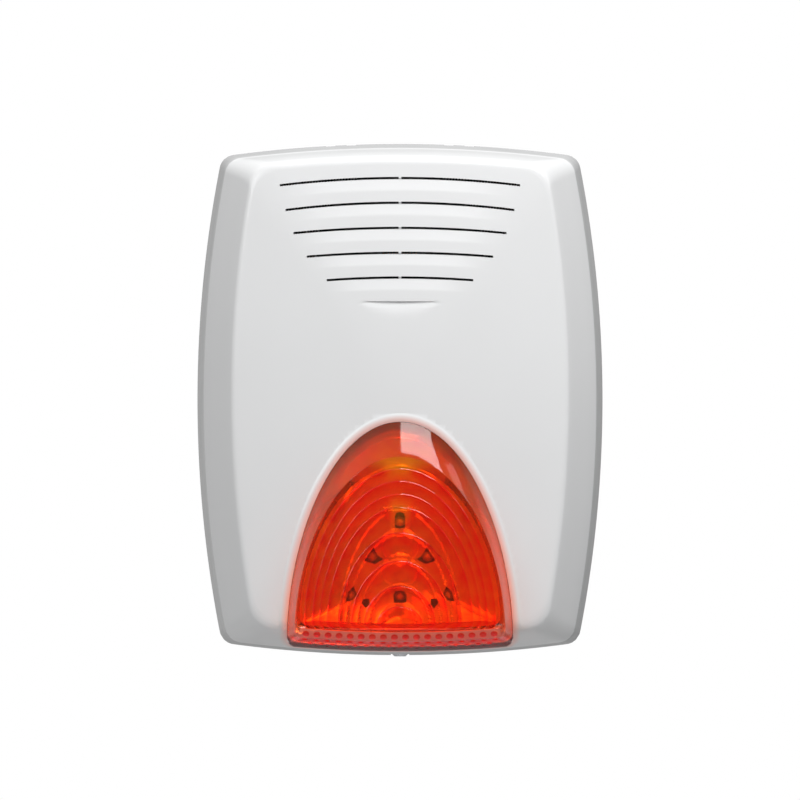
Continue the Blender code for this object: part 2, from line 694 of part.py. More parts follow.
# ---------------------------------------------------------------- horn
def make_horn(horn_finish, metal, membrane):
    """The flared horn, its driver cup, magnet and diaphragm, and three screws."""
    place = point(0.0, 0.0, HORN_HEIGHT)
    length = HORN_FRONT - HORN_REAR
    growth = HORN_MOUTH - HORN_THROAT
    inner = [(HORN_THROAT + growth * reached, HORN_REAR + length * share) for share, reached in HORN_GROWTH]
    outer = [(radius + HORN_WALL, height) for radius, height in inner[1:]]
    face = HORN_REAR + FLANGE_THICKNESS
    profile = [*reversed(outer), (HORN_THROAT + HORN_WALL + WELD, face), (HORN_FLANGE, face),
               (HORN_FLANGE, HORN_REAR), *inner]
    horn = turned("horn_flare", profile, place, horn_finish)
    holes = [(point(x, HORN_REAR - OVERCUT, z), point(x, face + OVERCUT, z)) for x, z in horn_screw_places()]
    boolean(horn, rods("horn_holes", SHEET_HOLE, holes, steps=HOLE_STEPS), "DIFFERENCE")

    rear, front = DRIVER_REAR, HORN_REAR - GAP
    back = rear - DRIVER_WALL / 2
    floor = back + DRIVER_WALL
    cup = ((DRIVER_RADIUS, front), (DRIVER_RADIUS, rear), (DRIVER_RADIUS - DRIVER_BEVEL, back),
           (DRIVER_BORE, back), (DRIVER_BORE, floor), (DRIVER_RADIUS - DRIVER_WALL, floor),
           (DRIVER_RADIUS - DRIVER_WALL, front))
    turned("driver_housing", cup, place, metal)
    magnet = ((0.0, MAGNET_FRONT), (MAGNET_RADIUS, MAGNET_FRONT), (MAGNET_RADIUS, floor + GAP),
              (0.0, floor + GAP))
    turned("driver_magnet", magnet, place, metal)
    turned("driver_diaphragm", DIAPHRAGM, place, membrane)
    for index, (x, z) in enumerate(horn_screw_places(), 1):
        screw(f"horn_screw_{index}", point(x, face + GAP, z), DEPTH_TURN, HORN_SCREW, metal)


# ---------------------------------------------------------------- main board
def make_main_board(board, plastic, metal, dark):
    """The control board with its components."""
    outlines = [rectangle(*BOARD_HALF, 0.0, BOARD_HEIGHT)]
    outlines += [circle(BOARD_HOLE, x, z, HOLE_STEPS) for x, z in board_screw_places()]
    plate("main_board", outlines, BOARD_DEPTH, BOARD_THICKNESS, board)
    top = BOARD_DEPTH + BOARD_THICKNESS + GAP
    for index, (x, z) in enumerate(board_screw_places(), 1):
        screw(f"board_screw_{index}", point(x, top, z), DEPTH_TURN, BOARD_SCREW, metal)
    for name, size, x, z, rounding in (TERMINAL_BLOCK, BATTERY_CONNECTOR, FLASHER_CONNECTOR):
        box(name, size, (x, top + size[1] / 2, z), plastic, rounding)
    for name, size, x, z, rounding in (TRANSFORMER, RELAY, CHIP):
        box(name, size, (x, top + size[1] / 2, z), dark, rounding)
    radius, height = CAPACITOR_SIZE
    x, z = CAPACITOR_PLACE
    profile = ((0.0, height), (radius * 0.9, height), (radius, height - CAPACITOR_BEVEL), (radius, 0.0),
               (0.0, 0.0))
    turned("reservoir_capacitor", profile, point(x, top, z), dark, 16)


# ---------------------------------------------------------------- battery
def make_battery(case, metal):
    """The sealed battery across the box, held by a steel strap."""
    middle = BATTERY_DEPTH + BATTERY_SIZE[1] / 2
    box("battery", BATTERY_SIZE, (0.0, middle, BATTERY_HEIGHT), case, BATTERY_ROUNDING)
    top = BATTERY_HEIGHT + BATTERY_SIZE[2] / 2
    for name, x in (("battery_tab_minus", -TAB_X), ("battery_tab_plus", TAB_X)):
        box(name, TAB_SIZE, (x, middle, top + GAP + TAB_SIZE[2] / 2), metal)
    front = BATTERY_DEPTH + BATTERY_SIZE[1] + GAP
    half = BATTERY_SIZE[2] / 2 + GAP
    foot = half + STRAP_REACH + STRAP_END
    thick = STRAP_THICKNESS
    path = [(STRAP_FOOT, foot), (STRAP_FOOT, half), (front, half), (front, -half), (STRAP_FOOT, -half),
            (STRAP_FOOT, -foot), (STRAP_FOOT + thick, -foot), (STRAP_FOOT + thick, -half - thick),
            (front + thick, -half - thick), (front + thick, half + thick), (STRAP_FOOT + thick, half + thick),
            (STRAP_FOOT + thick, foot)]
    ends = []
    for x in (STRAP_X - STRAP_WIDTH / 2, STRAP_X + STRAP_WIDTH / 2):
        ends.append([point(x, depth, BATTERY_HEIGHT + height) for depth, height in path])
    strap = loft("battery_strap", ends, metal, close_rear=True, close_front=True)
    holes = [(point(x, STRAP_FOOT - OVERCUT, z), point(x, STRAP_FOOT + thick + OVERCUT, z))
             for x, z in strap_screw_places()]
    boolean(strap, rods("strap_holes", SHEET_HOLE, holes, steps=HOLE_STEPS), "DIFFERENCE")
    for index, (x, z) in enumerate(strap_screw_places(), 1):
        screw(f"strap_screw_{index}", point(x, STRAP_FOOT + thick + GAP, z), DEPTH_TURN, STRAP_SCREW, metal)


# ---------------------------------------------------------------- flasher inside the box
def make_flasher(board, mirror, led_finish, metal):
    """The LED board on three posts, with the reflector that stands on it."""
    outlines = [arch_outline(*LED_BOARD_OUTLINE)]
    outlines += [circle(BOARD_HOLE, x, z, HOLE_STEPS) for x, z in (*FLASHER_POSTS, *REFLECTOR_PEGS)]
    plate("led_board", outlines, LED_BOARD_DEPTH, BOARD_THICKNESS, board)
    top = LED_BOARD_DEPTH + BOARD_THICKNESS + GAP
    for index, (x, z) in enumerate(FLASHER_POSTS, 1):
        screw(f"led_board_screw_{index}", point(x, top, z), DEPTH_TURN, LED_BOARD_SCREW, metal)
    for index, (x, z) in enumerate(REFLECTOR_PEGS, 1):
        screw(f"reflector_screw_{index}", point(x, LED_BOARD_DEPTH - GAP, z), WALL_TURN, LENS_SCREW, metal)

    rim, floor = REFLECTOR_RIM, REFLECTOR_FLOOR
    rings = [flat_ring(arch_outline(*floor[:4]), floor[4]), flat_ring(arch_outline(*rim[:4]), rim[4])]
    reflector = loft("reflector", rings, mirror, close_rear=True)
    thicken(reflector, REFLECTOR_WALL)
    pegs = [(point(x, top, z), point(x, floor[4] + PEG_SUNK, z)) for x, z in REFLECTOR_PEGS]
    boolean(reflector, rods("reflector_pegs", PEG_RADIUS, pegs, steps=SCREW_STEPS), "UNION")
    holes = [(point(x, floor[4] - OVERCUT, z), point(x, floor[4] + REFLECTOR_WALL + OVERCUT, z))
             for x, z in LED_PLACES]
    boolean(reflector, rods("led_holes", LED_RADIUS + LED_PLAY, holes, steps=SCREW_STEPS), "DIFFERENCE")
    sockets = [(point(x, top - OVERCUT, z), point(x, top + PEG_SOCKET, z)) for x, z in REFLECTOR_PEGS]
    boolean(reflector, rods("peg_sockets", SMALL_PILOT_HOLE, sockets, steps=HOLE_STEPS), "DIFFERENCE")

    radius = LED_RADIUS
    profile = ((0.0, LED_LENGTH), (radius * 0.6, LED_LENGTH - radius * 0.2), (radius, LED_LENGTH - radius * 0.9),
               (radius, 0.0), (0.0, 0.0))
    for index, (x, z) in enumerate(LED_PLACES, 1):
        turned(f"led_{index}", profile, point(x, top, z), led_finish, SCREW_STEPS)


# ---------------------------------------------------------------- tamper switches
def make_tamper(name, side, seat, facing, finish):
    """A switch body with a blind hole for its plunger; facing is +1 outwards and -1 to the wall."""
    middle = seat + facing * SWITCH_SIZE[1] / 2
    body = box(f"{name}_switch", SWITCH_SIZE, (side * TAMPER_X, middle, TAMPER_HEIGHT), finish)
    mouth = seat + facing * SWITCH_SIZE[1]
    hole = [(point(side * TAMPER_X, mouth + facing * OVERCUT, TAMPER_HEIGHT),
             point(side * TAMPER_X, mouth - facing * (PLUNGER_SUNK + SOCKET_SPARE), TAMPER_HEIGHT))]
    boolean(body, rods(f"{name}_hole", PLUNGER_HOLE, hole, steps=SCREW_STEPS), "DIFFERENCE")
    return mouth


def make_plunger(name, side, mouth, facing, stand, finish):
    """A plunger that slides in its switch, with its origin on its axis at the switch's mouth."""
    profile = ((0.0, stand), (PLUNGER_RADIUS * PLUNGER_TIP, stand), (PLUNGER_RADIUS, stand - PLUNGER_BEVEL),
               (PLUNGER_RADIUS, -PLUNGER_SUNK), (0.0, -PLUNGER_SUNK))
    turned(name, profile, point(side * TAMPER_X, mouth, TAMPER_HEIGHT), finish, SCREW_STEPS,
           Matrix.Rotation(facing * math.pi / 2, 4, "X"))


# ---------------------------------------------------------------- leads inside the box
def make_leads(red, black, grey):
    """Short leads between the battery, the driver, the flasher and the main board."""
    middle = BATTERY_DEPTH + BATTERY_SIZE[1] / 2
    tab = BATTERY_HEIGHT + BATTERY_SIZE[2] / 2 + 0.0073
    depth, height = LEAD_SOCKET
    route = [(-TAB_X, middle, tab), (-TAB_X, middle, tab + 0.006), (-0.072, middle - 0.004, -0.0100),
             (-0.060, 0.0150, -0.0110), (-0.0525, depth, -0.0095), (-0.0525, depth, height)]
    lead("battery_lead_black", route, black)
    route = [(TAB_X, middle, tab), (TAB_X, middle, tab + 0.004), (0.074, middle, -0.0125),
             (0.045, middle, -0.0130), (0.012, middle, -0.0130), (0.0, middle, -0.0098),
             (-0.014, middle, -0.0125), (-0.036, 0.0185, -0.0130), (-0.0470, depth, -0.0110),
             (-0.0475, depth, height)]
    lead("battery_lead_red", route, red)
    board = LED_BOARD_DEPTH
    route = [(0.012, board - 0.0004, -0.0225), (0.012, board - 0.0040, -0.0225), (0.013, board - 0.0130, -0.0170),
             (0.013, 0.0290, -0.0070), (0.012, 0.0230, -0.0030), (0.012, 0.0182, -0.0020)]
    lead("flasher_lead", route, grey)
    driver = HORN_HEIGHT - DRIVER_RADIUS
    route = [(0.0, 0.0245, driver - 0.0004), (0.0, 0.0240, driver - 0.0030), (-0.001, 0.0190, 0.0340),
             (-0.002, 0.0140, 0.0300), (-0.002, 0.0102, 0.0290)]
    lead("driver_lead", route, grey)


def lead(name, route, finish):
    """A lead through a list of places, each given as x, depth and height."""
    tube(name, [point(*place) for place in route], LEAD_RADIUS, finish)


# ---------------------------------------------------------------- cover and lens
def make_cover(finish):
    """The front cover: shell, sound slots, lens opening, hinge knuckles and bosses."""
    rings = [flat_ring(barrel_outline(*row[:4]), row[4]) for row in COVER_STATIONS]
    cover = loft("front_cover", rings, finish, close_front=True)
    thicken(cover, WALL)

    boolean(cover, hinge_leaves("hinge_knuckles", KNUCKLE_SPANS, HINGE_HEIGHT + KNUCKLE_ROOT), "UNION")
    bosses = bmesh.new()
    for x, z in ear_screw_places():
        surface = cover_depth(x, z)
        add_rod(bosses, EAR_BOSS, point(x, surface - EAR_DROP + GAP, z), point(x, surface - BOSS_SUNK, z), 10)
    surface = cover_depth(-TAMPER_X, TAMPER_HEIGHT)
    add_rod(bosses, PLUNGER_BOSS, point(-TAMPER_X, FRONT_PLUNGER_TOP + GAP, TAMPER_HEIGHT),
            point(-TAMPER_X, surface - BOSS_SUNK, TAMPER_HEIGHT), SCREW_STEPS)
    for x, z in SCREEN_POSTS:
        add_rod(bosses, SCREEN_POST, point(x, SCREEN_DEPTH - SCREEN_THICKNESS, z),
                point(x, cover_depth(x, z) - BOSS_SUNK, z), HOLE_STEPS)
    boolean(cover, mesh_object("cover_bosses", bosses), "UNION")

    opening = [LENS_EDGE[0] + LENS_FIT, LENS_EDGE[1] + LENS_FIT, LENS_EDGE[2] - LENS_FIT, LENS_EDGE[3] + LENS_FIT]
    rings = [flat_ring(arch_outline(*opening), depth) for depth in (LENS_SEAT - 0.0005, 0.100)]
    boolean(cover, loft("lens_opening", rings, close_rear=True, close_front=True), "DIFFERENCE")
    boolean(cover, sound_slot_cutter(), "DIFFERENCE")

    cuts = bmesh.new()
    for start, stop in LUG_SPANS:
        outward = math.copysign(NOTCH_REACH, stop - start)
        inward = math.copysign(NOTCH_SIDE, start - stop)
        width = abs(stop + outward - start - inward)
        middle = (start + inward + stop + outward) / 2
        depth, rise = NOTCH_CENTRE
        add_box(cuts, (width, NOTCH_SIZE, NOTCH_SIZE), (middle, depth, HINGE_HEIGHT + rise))
    add_box(cuts, LIP_SLOT, (0.0, *LIP_SLOT_CENTRE))
    boolean(cover, mesh_object("rim_cuts", cuts), "DIFFERENCE")
    boolean(cover, box("screw_recess", RECESS_SIZE, (0.0, *RECESS_CENTRE)), "DIFFERENCE")

    reach = KNUCKLE_HALF + WELD / 5
    bores = [(point(side * HINGE_X - reach, HINGE_DEPTH, HINGE_HEIGHT),
              point(side * HINGE_X + reach, HINGE_DEPTH, HINGE_HEIGHT)) for side in (-1, 1)]
    boolean(cover, rods("knuckle_bores", PIN_HOLE, bores, steps=SCREW_STEPS), "DIFFERENCE")
    sockets = [(point(x, cover_depth(x, z) - 0.0080, z), point(x, cover_depth(x, z) - 0.0014, z))
               for x, z in ear_screw_places()]
    boolean(cover, rods("ear_sockets", SMALL_PILOT_HOLE, sockets, steps=HOLE_STEPS), "DIFFERENCE")
    return cover


def sound_slot_cutter():
    """The bowed slots in front of the horn, each in two halves."""
    shape = bmesh.new()
    rear, front = SLOT_CUT
    for half_length, middle, end in SOUND_SLOTS:
        for side in (-1, 1):
            columns = []
            for index in range(SLOT_STEPS + 1):
                share = index / SLOT_STEPS
                x = side * (SLOT_BRIDGE + (half_length - SLOT_BRIDGE) * share)
                z = middle + (end - middle) * (x / half_length) ** 2
                columns.append([shape.verts.new(point(x, depth, z + dz * SLOT_HEIGHT / 2))
                                for depth, dz in ((rear, -1), (front, -1), (front, 1), (rear, 1))])
            for near, far in zip(columns, columns[1:]):
                for index in range(4):
                    after = (index + 1) % 4
                    shape.faces.new((near[index], near[after], far[after], far[index]))
            shape.faces.new(columns[0])
            shape.faces.new(list(reversed(columns[-1])))
    bmesh.ops.recalc_face_normals(shape, faces=shape.faces)
    return mesh_object("sound_slots", shape)


def arch_half_width(z):
    """Half width of the lens's edge at a height."""
    half_width, apex, foot, corner = LENS_EDGE
    spring = foot_height(half_width - corner, foot) + corner
    rise = (z - spring) / (apex - spring)
    return half_width * math.sqrt(1 - rise ** (2 / ARCH_POWER))


def ear_screw_places():
    """The four screws that hold the lens from behind."""
    return [(side * (arch_half_width(z) + EAR_REACH - EAR_TIP), z) for z in EAR_HEIGHTS for side in (-1, 1)]


def make_lens(finish):
    """The flasher lens: rim in the cover, stepped front, and four screw ears behind the cover."""
    outline = arch_outline(*LENS_EDGE)
    rim = [point(p.x, max(cover_depth(p.x, p.y) - 0.0065, LENS_SEAT), p.y) for p in outline]
    face = [point(p.x, max(cover_depth(p.x, p.y) + 0.0004, LENS_SEAT + 0.0015), p.y) for p in outline]
    rings = [rim, face] + [flat_ring(arch_outline(*row[:4]), row[4]) for row in LENS_RINGS]
    lens = loft("flasher_lens", rings, finish, close_front=True)
    thicken(lens, LENS_WALL)
    ears = bmesh.new()
    for z in EAR_HEIGHTS:
        for side in (-1, 1):
            edge = arch_half_width(z)
            start, stop = edge - 0.0012, edge + EAR_REACH
            depth = cover_depth(side * (stop - EAR_TIP), z) - EAR_DROP - EAR_THICKNESS / 2
            add_box(ears, (stop - start, EAR_THICKNESS, EAR_HEIGHT), (side * (start + stop) / 2, depth, z))
    boolean(lens, mesh_object("lens_ears", ears), "UNION")
    holes = [(point(x, cover_depth(x, z) - 0.0100, z), point(x, cover_depth(x, z) - 0.0030, z))
             for x, z in ear_screw_places()]
    boolean(lens, rods("ear_holes", EAR_HOLE, holes, steps=HOLE_STEPS), "DIFFERENCE")
    return lens


def make_lens_screws(metal):
    """Screws through the lens ears into the cover."""
    screws = []
    for index, (x, z) in enumerate(ear_screw_places(), 1):
        place = point(x, cover_depth(x, z) - EAR_DROP - EAR_THICKNESS - GAP, z)
        screws.append(screw(f"lens_screw_{index}", place, WALL_TURN, LENS_SCREW, metal))
    return screws


def make_lens_seal(rubber):
    """A rubber cord round the arch, between the cover and the lens ears."""
    half_width, apex, foot, corner = LENS_EDGE
    outline = arch_outline(half_width + SEAL_OFFSET, apex + SEAL_OFFSET, foot, corner)[1:2 * ARCH_STEPS]
    places = [point(p.x, cover_depth(p.x, p.y) - WALL - SEAL_DROP, p.y) for p in outline]
    return tube("lens_seal", places, SEAL_RADIUS, rubber, steps=2)


def make_slot_screen(metal):
    """The screen's plate behind the sound slots, with its rows of openings."""
    outlines = [barrel_outline(*SCREEN_OUTLINE)]
    outlines += [rectangle(*SCREEN_OPENING, x, z) for z in SCREEN_ROWS for x in SCREEN_COLUMNS]
    outlines += [circle(SCREEN_POST + GAP, x, z, HOLE_STEPS) for x, z in SCREEN_POSTS]
    return plate("slot_screen", outlines, SCREEN_DEPTH, SCREEN_THICKNESS, metal)


def make_cover_screw(metal):
    """The captive screw that holds the cover's lower lip; its origin is on its own axis."""
    head, shank = SCREW_HEAD, SCREW_SHANK
    tip = SCREW_TIP - SCREW_SEAT
    seat = -GAP
    end = seat - SCREW_HEAD_HEIGHT
    profile = ((0.0, tip), (shank, tip), (shank, seat), (head, seat), (head, end + SCREW_HEAD_HEIGHT * 0.28),
               (head * 0.85, end), (0.0, end))
    return turned("cover_screw", profile, point(0.0, SCREW_DEPTH, SCREW_SEAT), metal, 16, Matrix.Identity(4))


# ---------------------------------------------------------------- build
clear_scene()
PARTS = new_collection("alarm_siren")
CUTTERS = new_collection("alarm_siren_cutters")

white = finish_material("gloss_white", (0.86, 0.86, 0.86), 0.28)
box_white = finish_material("box_white", (0.80, 0.80, 0.79), 0.45)
lens_red = finish_material("lens_red", (0.75, 0.04, 0.02), 0.08)
bright = finish_material("bright_mirror", (0.88, 0.88, 0.88), 0.12, 1.0)
steel = finish_material("zinc_steel", (0.62, 0.63, 0.65), 0.35, 1.0)
black = finish_material("black_plastic", (0.03, 0.03, 0.03), 0.50)
rubber_black = finish_material("black_rubber", (0.02, 0.02, 0.02), 0.80)
green = finish_material("board_green", (0.03, 0.20, 0.08), 0.40)
connector = finish_material("connector_grey", (0.45, 0.47, 0.50), 0.50)
led_clear = finish_material("led_clear", (0.90, 0.75, 0.60), 0.10)
red_pvc = finish_material("red_sheath", (0.60, 0.03, 0.02), 0.45)
grey_pvc = finish_material("grey_sheath", (0.30, 0.30, 0.30), 0.45)

make_wall_box(box_white)
make_hinge_pins(steel)
make_cable_grommet(rubber_black)
make_horn(black, steel, red_pvc)
make_main_board(green, connector, steel, black)
make_battery(black, steel)
make_flasher(green, bright, led_clear, steel)
make_leads(red_pvc, black, grey_pvc)

front_mouth = make_tamper("cover_tamper", -1, SWITCH_REST, 1, black)
make_plunger("cover_tamper_plunger", -1, front_mouth, 1, PLUNGER_STAND, white)
wall_mouth = make_tamper("wall_tamper", 1, WALL + GAP + SWITCH_SIZE[1], -1, black)
make_plunger("wall_tamper_plunger", 1, wall_mouth, -1, wall_mouth - WALL_PLAY, white)

cover_pieces = [make_cover(white), make_lens(lens_red), make_lens_seal(rubber_black), make_slot_screen(black)]
cover_pieces += make_lens_screws(steel)
hinge_axis = bpy.data.objects.new("cover_hinge_axis", None)
hinge_axis.location = point(0.0, HINGE_DEPTH, HINGE_HEIGHT)
PARTS.objects.link(hinge_axis)
hang_on(hinge_axis, cover_pieces)
make_cover_screw(steel)
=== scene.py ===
"""Looks of the outdoor alarm siren: gloss white cover, red stepped lens, bright reflector and the parts inside.

The wall is the plane y = 0 and the front faces -Y. A depth is a distance from the wall. Lengths are in metres.
"""
import math

import bmesh
import bpy
from mathutils import Matrix, Vector
from mathutils.kdtree import KDTree


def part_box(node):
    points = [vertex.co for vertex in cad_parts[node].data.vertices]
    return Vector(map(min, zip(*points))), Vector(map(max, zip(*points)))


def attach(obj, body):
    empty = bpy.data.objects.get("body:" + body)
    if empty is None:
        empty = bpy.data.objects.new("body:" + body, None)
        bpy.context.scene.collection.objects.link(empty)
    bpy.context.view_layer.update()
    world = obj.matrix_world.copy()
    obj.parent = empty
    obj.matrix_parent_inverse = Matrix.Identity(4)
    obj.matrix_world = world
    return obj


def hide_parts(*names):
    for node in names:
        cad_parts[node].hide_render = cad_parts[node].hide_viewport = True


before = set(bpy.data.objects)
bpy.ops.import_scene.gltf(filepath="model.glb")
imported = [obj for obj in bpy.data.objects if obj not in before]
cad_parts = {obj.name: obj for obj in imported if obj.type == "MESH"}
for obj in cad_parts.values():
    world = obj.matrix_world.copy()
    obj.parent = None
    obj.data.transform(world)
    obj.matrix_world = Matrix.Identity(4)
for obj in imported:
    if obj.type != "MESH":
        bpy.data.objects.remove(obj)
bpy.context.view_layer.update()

# ---------------------------------------------------------------- sizes taken from the frame
COVER_LOW, COVER_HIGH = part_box("front_cover")
HALF_WIDTH = COVER_HIGH[0]
TOP = COVER_HIGH[2]
BOTTOM = COVER_LOW[2]
RIM_DEPTH = -COVER_HIGH[1]
LENS_FRONT = -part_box("flasher_lens")[0][1]

# ---------------------------------------------------------------- general
WELD = 0.00001              # points nearer than this are one point
GAP = 0.0003                # play between a piece and the one it faces
SIDE_ARC = 0.620            # radius of the bowed sides
END_ARC = 0.650             # radius of the bowed top and bottom

# ---------------------------------------------------------------- cover
SHELL = 0.0025              # wall of the cover
# Rings of the cover's outer surface, as insets from the rear rim's outline:
# side inset, top inset, bottom inset, corner radius, depth
COVER_RINGS = (
    (0.0000, 0.0000, 0.0000, 0.0080, RIM_DEPTH),
    (0.0016, 0.0012, 0.0009, 0.0085, 0.0240),
    (0.0032, 0.0023, 0.0017, 0.0090, 0.0450),
    (0.0047, 0.0031, 0.0022, 0.0096, 0.0498),
    (0.0110, 0.0048, 0.0055, 0.0115, 0.0600),
    (0.0165, 0.0068, 0.0098, 0.0135, 0.0686),
    (0.0182, 0.0084, 0.0122, 0.0150, 0.0706),
    (0.0200, 0.0105, 0.0148, 0.0165, 0.0713),
)
LAST_RING = len(COVER_RINGS) - 1
CROWN_DEPTH = 0.0764        # depth of the front at its middle
RING_STEPS = 26             # rings computed between the rim and the front panel
ACROSS_STEPS = 92           # columns of the front panel
FINE_ROW = 0.0006           # height of a row of the panel where the louvres are
COARSE_ROW = 0.0026         # and elsewhere

# Sound slots, from the top: half length, height at the middle, height at the ends
SOUND_SLOTS = (
    (0.0607, 0.1120, 0.1083),
    (0.0578, 0.0995, 0.0958),
    (0.0538, 0.0868, 0.0841),
    (0.0471, 0.0742, 0.0722),
    (0.0370, 0.0617, 0.0603),
)
PITCH = 0.0125              # from one slot to the next
LAST_EDGE = (0.0214, 0.0496, 0.0490)    # the sixth louvre has an edge and no slot
SLOT_HEIGHT = 0.00115
SLOT_BRIDGE = 0.0007        # half of the thin web at the middle of each slot
SLOT_STEPS = 24
SLOT_CUT = (0.060, 0.080)   # depths between which the slots are cut
LOUVRE_RECESS = 0.0009      # how far a louvre's upper edge lies below the front
LOUVRE_FLAT = 0.45          # share of a slot's half length along which its louvre keeps the whole recess
LOUVRE_RUN_OUT = 0.001      # how far a louvre runs past its slot
LOUVRE_ABOVE = 0.004        # fine rows above the first slot
LOUVRE_BELOW = 0.020        # fine rows below the last slot
CRESCENT_RECESS = 0.00117   # depth of the crescent under the last edge
CRESCENT_DROP = 0.0056      # height of that crescent

# ---------------------------------------------------------------- lens
# An arch is given by its half width, apex, foot and corner radius.
LENS_EDGE = (0.0570, -0.0114, -0.1272, 0.0045)
LENS_FIT = 0.00018          # play between the lens and its opening
LENS_SEAT = 0.0492          # depth of the lens's rear edge where the cover is low
LENS_SINK = 0.0065          # how far the lens's rear edge lies below the cover's surface
LENS_WALL = 0.0020
ARCH_POWER = 1.1            # how full the arch is; 1 is an ellipse
ARCH_STEPS = 44
CORNER_STEPS = 7
FOOT_STEPS = 18
RIDGE = (0.0532, -0.0285, -0.1219, 0.0035)
RIDGE_DEPTH = (0.0828, 0.0848)          # at the ridge's foot and above it
WALL_STEPS = 10             # rings up the lens's outer wall
WALL_BULGE = 0.0006
STEP_FOOT = -0.1174         # foot of the steps, above the pale strip
STRIP_INSET = (0.0012, 0.0010)          # from the ridge to the strip, at the sides and at the apex
STRIP_DEPTH = (0.0866, 0.0851)          # of the strip's edge, at its foot and above it
STEPS_DEPTH = 0.0852        # depth of the outermost step; the innermost is at the lens's front
STEPS_CURVE = 0.8
STEP_FOOT_RISE = 0.00025    # each step's foot lies this much above the one round it
STEP_LIP = 0.0002
# Rings of a step: inset and how far it has risen, from 0 to 1
STEP_PROFILE = ((0.0, 0.0), (0.00030, 0.35), (0.00055, 1.0))
# Nested steps of the lens: half width, apex
LENS_STEPS = (
    (0.0486, -0.0348), (0.0446, -0.0409), (0.0410, -0.0474), (0.0372, -0.0540), (0.0312, -0.0669),
    (0.0250, -0.0811), (0.0182, -0.0938), (0.0115, -0.1043),
)
# Rings of the lens's smooth inner surface from its middle: an arch and its depth
INNER_ARCHES = (
    ((0.0035, -0.1105, -0.1145, 0.0010), LENS_FRONT - LENS_WALL - 0.0002),
    ((0.0160, -0.0960, -0.1140, 0.0020), 0.0865), ((0.0300, -0.0690, -0.1135, 0.0020), 0.0856),
    ((0.0440, -0.0450, -0.1130, 0.0025), 0.0842), ((0.0505, -0.0335, -0.1155, 0.0030), 0.0828),
)
# The lens's edges lie flush in the cover, and its ears are screwed to bosses behind the cover.
EAR_HEIGHTS = (-0.048, -0.098)
EAR_REACH = 0.0095          # from the lens's edge to the end of an ear
EAR_ROOT = 0.0012           # how deep an ear starts inside the lens's wall
EAR_DROP = 0.0049           # from the cover's surface to an ear
EAR_THICKNESS = 0.0020
EAR_WIDTH = 0.0080
EAR_TIP = 0.0038            # radius of the round end
EAR_TIP_SHIFT = 0.0006
EAR_HOLE = 0.0014
EAR_SCREW_INSET = 0.0032    # from the end of an ear to its screw

# How thick the red plastic looks, from 0 to 1, with painted light and shade in it, and how frosted it is, with
# a painted reflection in it
# Painted light and shade: each step is painted bright orange at its foot and deep red above it, in bands that
# stand in for the light and shade on the steps; the foot is also thinner
STEP_THICKNESS_AND_SHADING = (0.74, 1.0, 0.98)      # at the rings of STEP_PROFILE
FACE_THICKNESS = 0.80
# Painted reflection: the strip and the wall's foot are frosted pale; the frost is partly the plastic's milky
# finish, and its pale colour stands in for the reflection on them
STRIP_MARK = (0.80, 1.0)
LEDGE_MARK = (1.0, 0.05)
STRIP_FRONT = 0.0815        # the pale strip lies further out than this
WALL_THICKNESS = 0.78
# The wall's frost, with its painted reflection, grows towards the wall's foot
WALL_FROST_AND_REFLECTION = (0.08, 0.72)   # high up on the wall and at its foot
FROST_AND_REFLECTION_HEIGHT = -0.100       # the wall is wholly frosted below this
# Painted glow: bands where the lens is painted amber, above the first step and above the top lamp,
# standing in for light gathered there: height of the middle, reach across, reach upright
PAINTED_GLOW_BANDS = ((-0.0318, 0.0180, 0.0055), (-0.0530, 0.0070, 0.0060))
PAINTED_GLOW_CORE = 0.4            # share of a band's reach that is wholly amber

# Rows of studs at the lens's foot: half length, height, depth, count, radius, flatness, tilt
STUD_ROWS = (
    (0.0475, -0.1200, 0.0846, 18, 0.0018, 0.40, 0.75),
    (0.0480, -0.1231, 0.0765, 18, 0.0014, 0.45, 1.40),
    (0.0452, -0.1246, 0.0675, 17, 0.0014, 0.45, 1.40),
    (0.0480, -0.1259, 0.0590, 18, 0.0012, 0.45, 1.40),
)

# ---------------------------------------------------------------- lip of the cover round the lens
# Outward distance from the lens's edge, and height over the cover's surface
COLLAR_PROFILE = (
    (-0.0008, -0.0012), (-0.0006, -0.0001), (0.0004, 0.0002), (0.0012, 0.0004), (0.0022, 0.0005),
    (0.0032, 0.0004), (0.0041, 0.0002), (0.0048, -0.0001), (0.0050, -0.0006), (0.0050, -0.0012),
)
COLLAR_SINK = -0.0012       # height of the lip where it has faded out
COLLAR_FADE = (0.004, 0.012)            # heights above the cover's foot between which it fades in
COLLAR_FOOT = 0.0032        # the lip stays this far above the cover's foot
# Painted glow: pink is painted into the white round the lens for its red light, this far out
SURROUND_REACH = 0.0050     # how far the lens shines into the white round it

# ---------------------------------------------------------------- behind the cover
BOSS_ROOT = 0.0015          # how far under the cover's outer surface a boss starts
EAR_BOSS = 0.0030
EAR_BORE = 0.0012
PLUNGER_BOSS = 0.0035
PLUNGER_PLACE = (-0.071, -0.0930)
PLUNGER_TOP = 0.0335
SCREEN_DEPTH = 0.0665
SCREEN_POST = 0.0014
SCREEN_POSTS = ((-0.0585, 0.1040), (0.0585, 0.1040), (-0.0580, 0.0620), (0.0580, 0.0620))
# Frame of the slot screen: half width, top, bottom, corner radius, depth
SCREEN_RINGS = (
    (0.0640, 0.1160, 0.0560, 0.006, 0.0663), (0.0640, 0.1160, 0.0560, 0.006, 0.0675),
    (0.0612, 0.1132, 0.0588, 0.004, 0.0675), (0.0612, 0.1132, 0.0588, 0.004, 0.0663),
)
SCREEN_STEPS = 24
WIRES = {"Half_Width": 0.0615, "Low": 0.0583, "High": 0.1137, "Depth": 0.0669, "Columns": 83, "Rows": 39,
         "Wire": 0.00022}

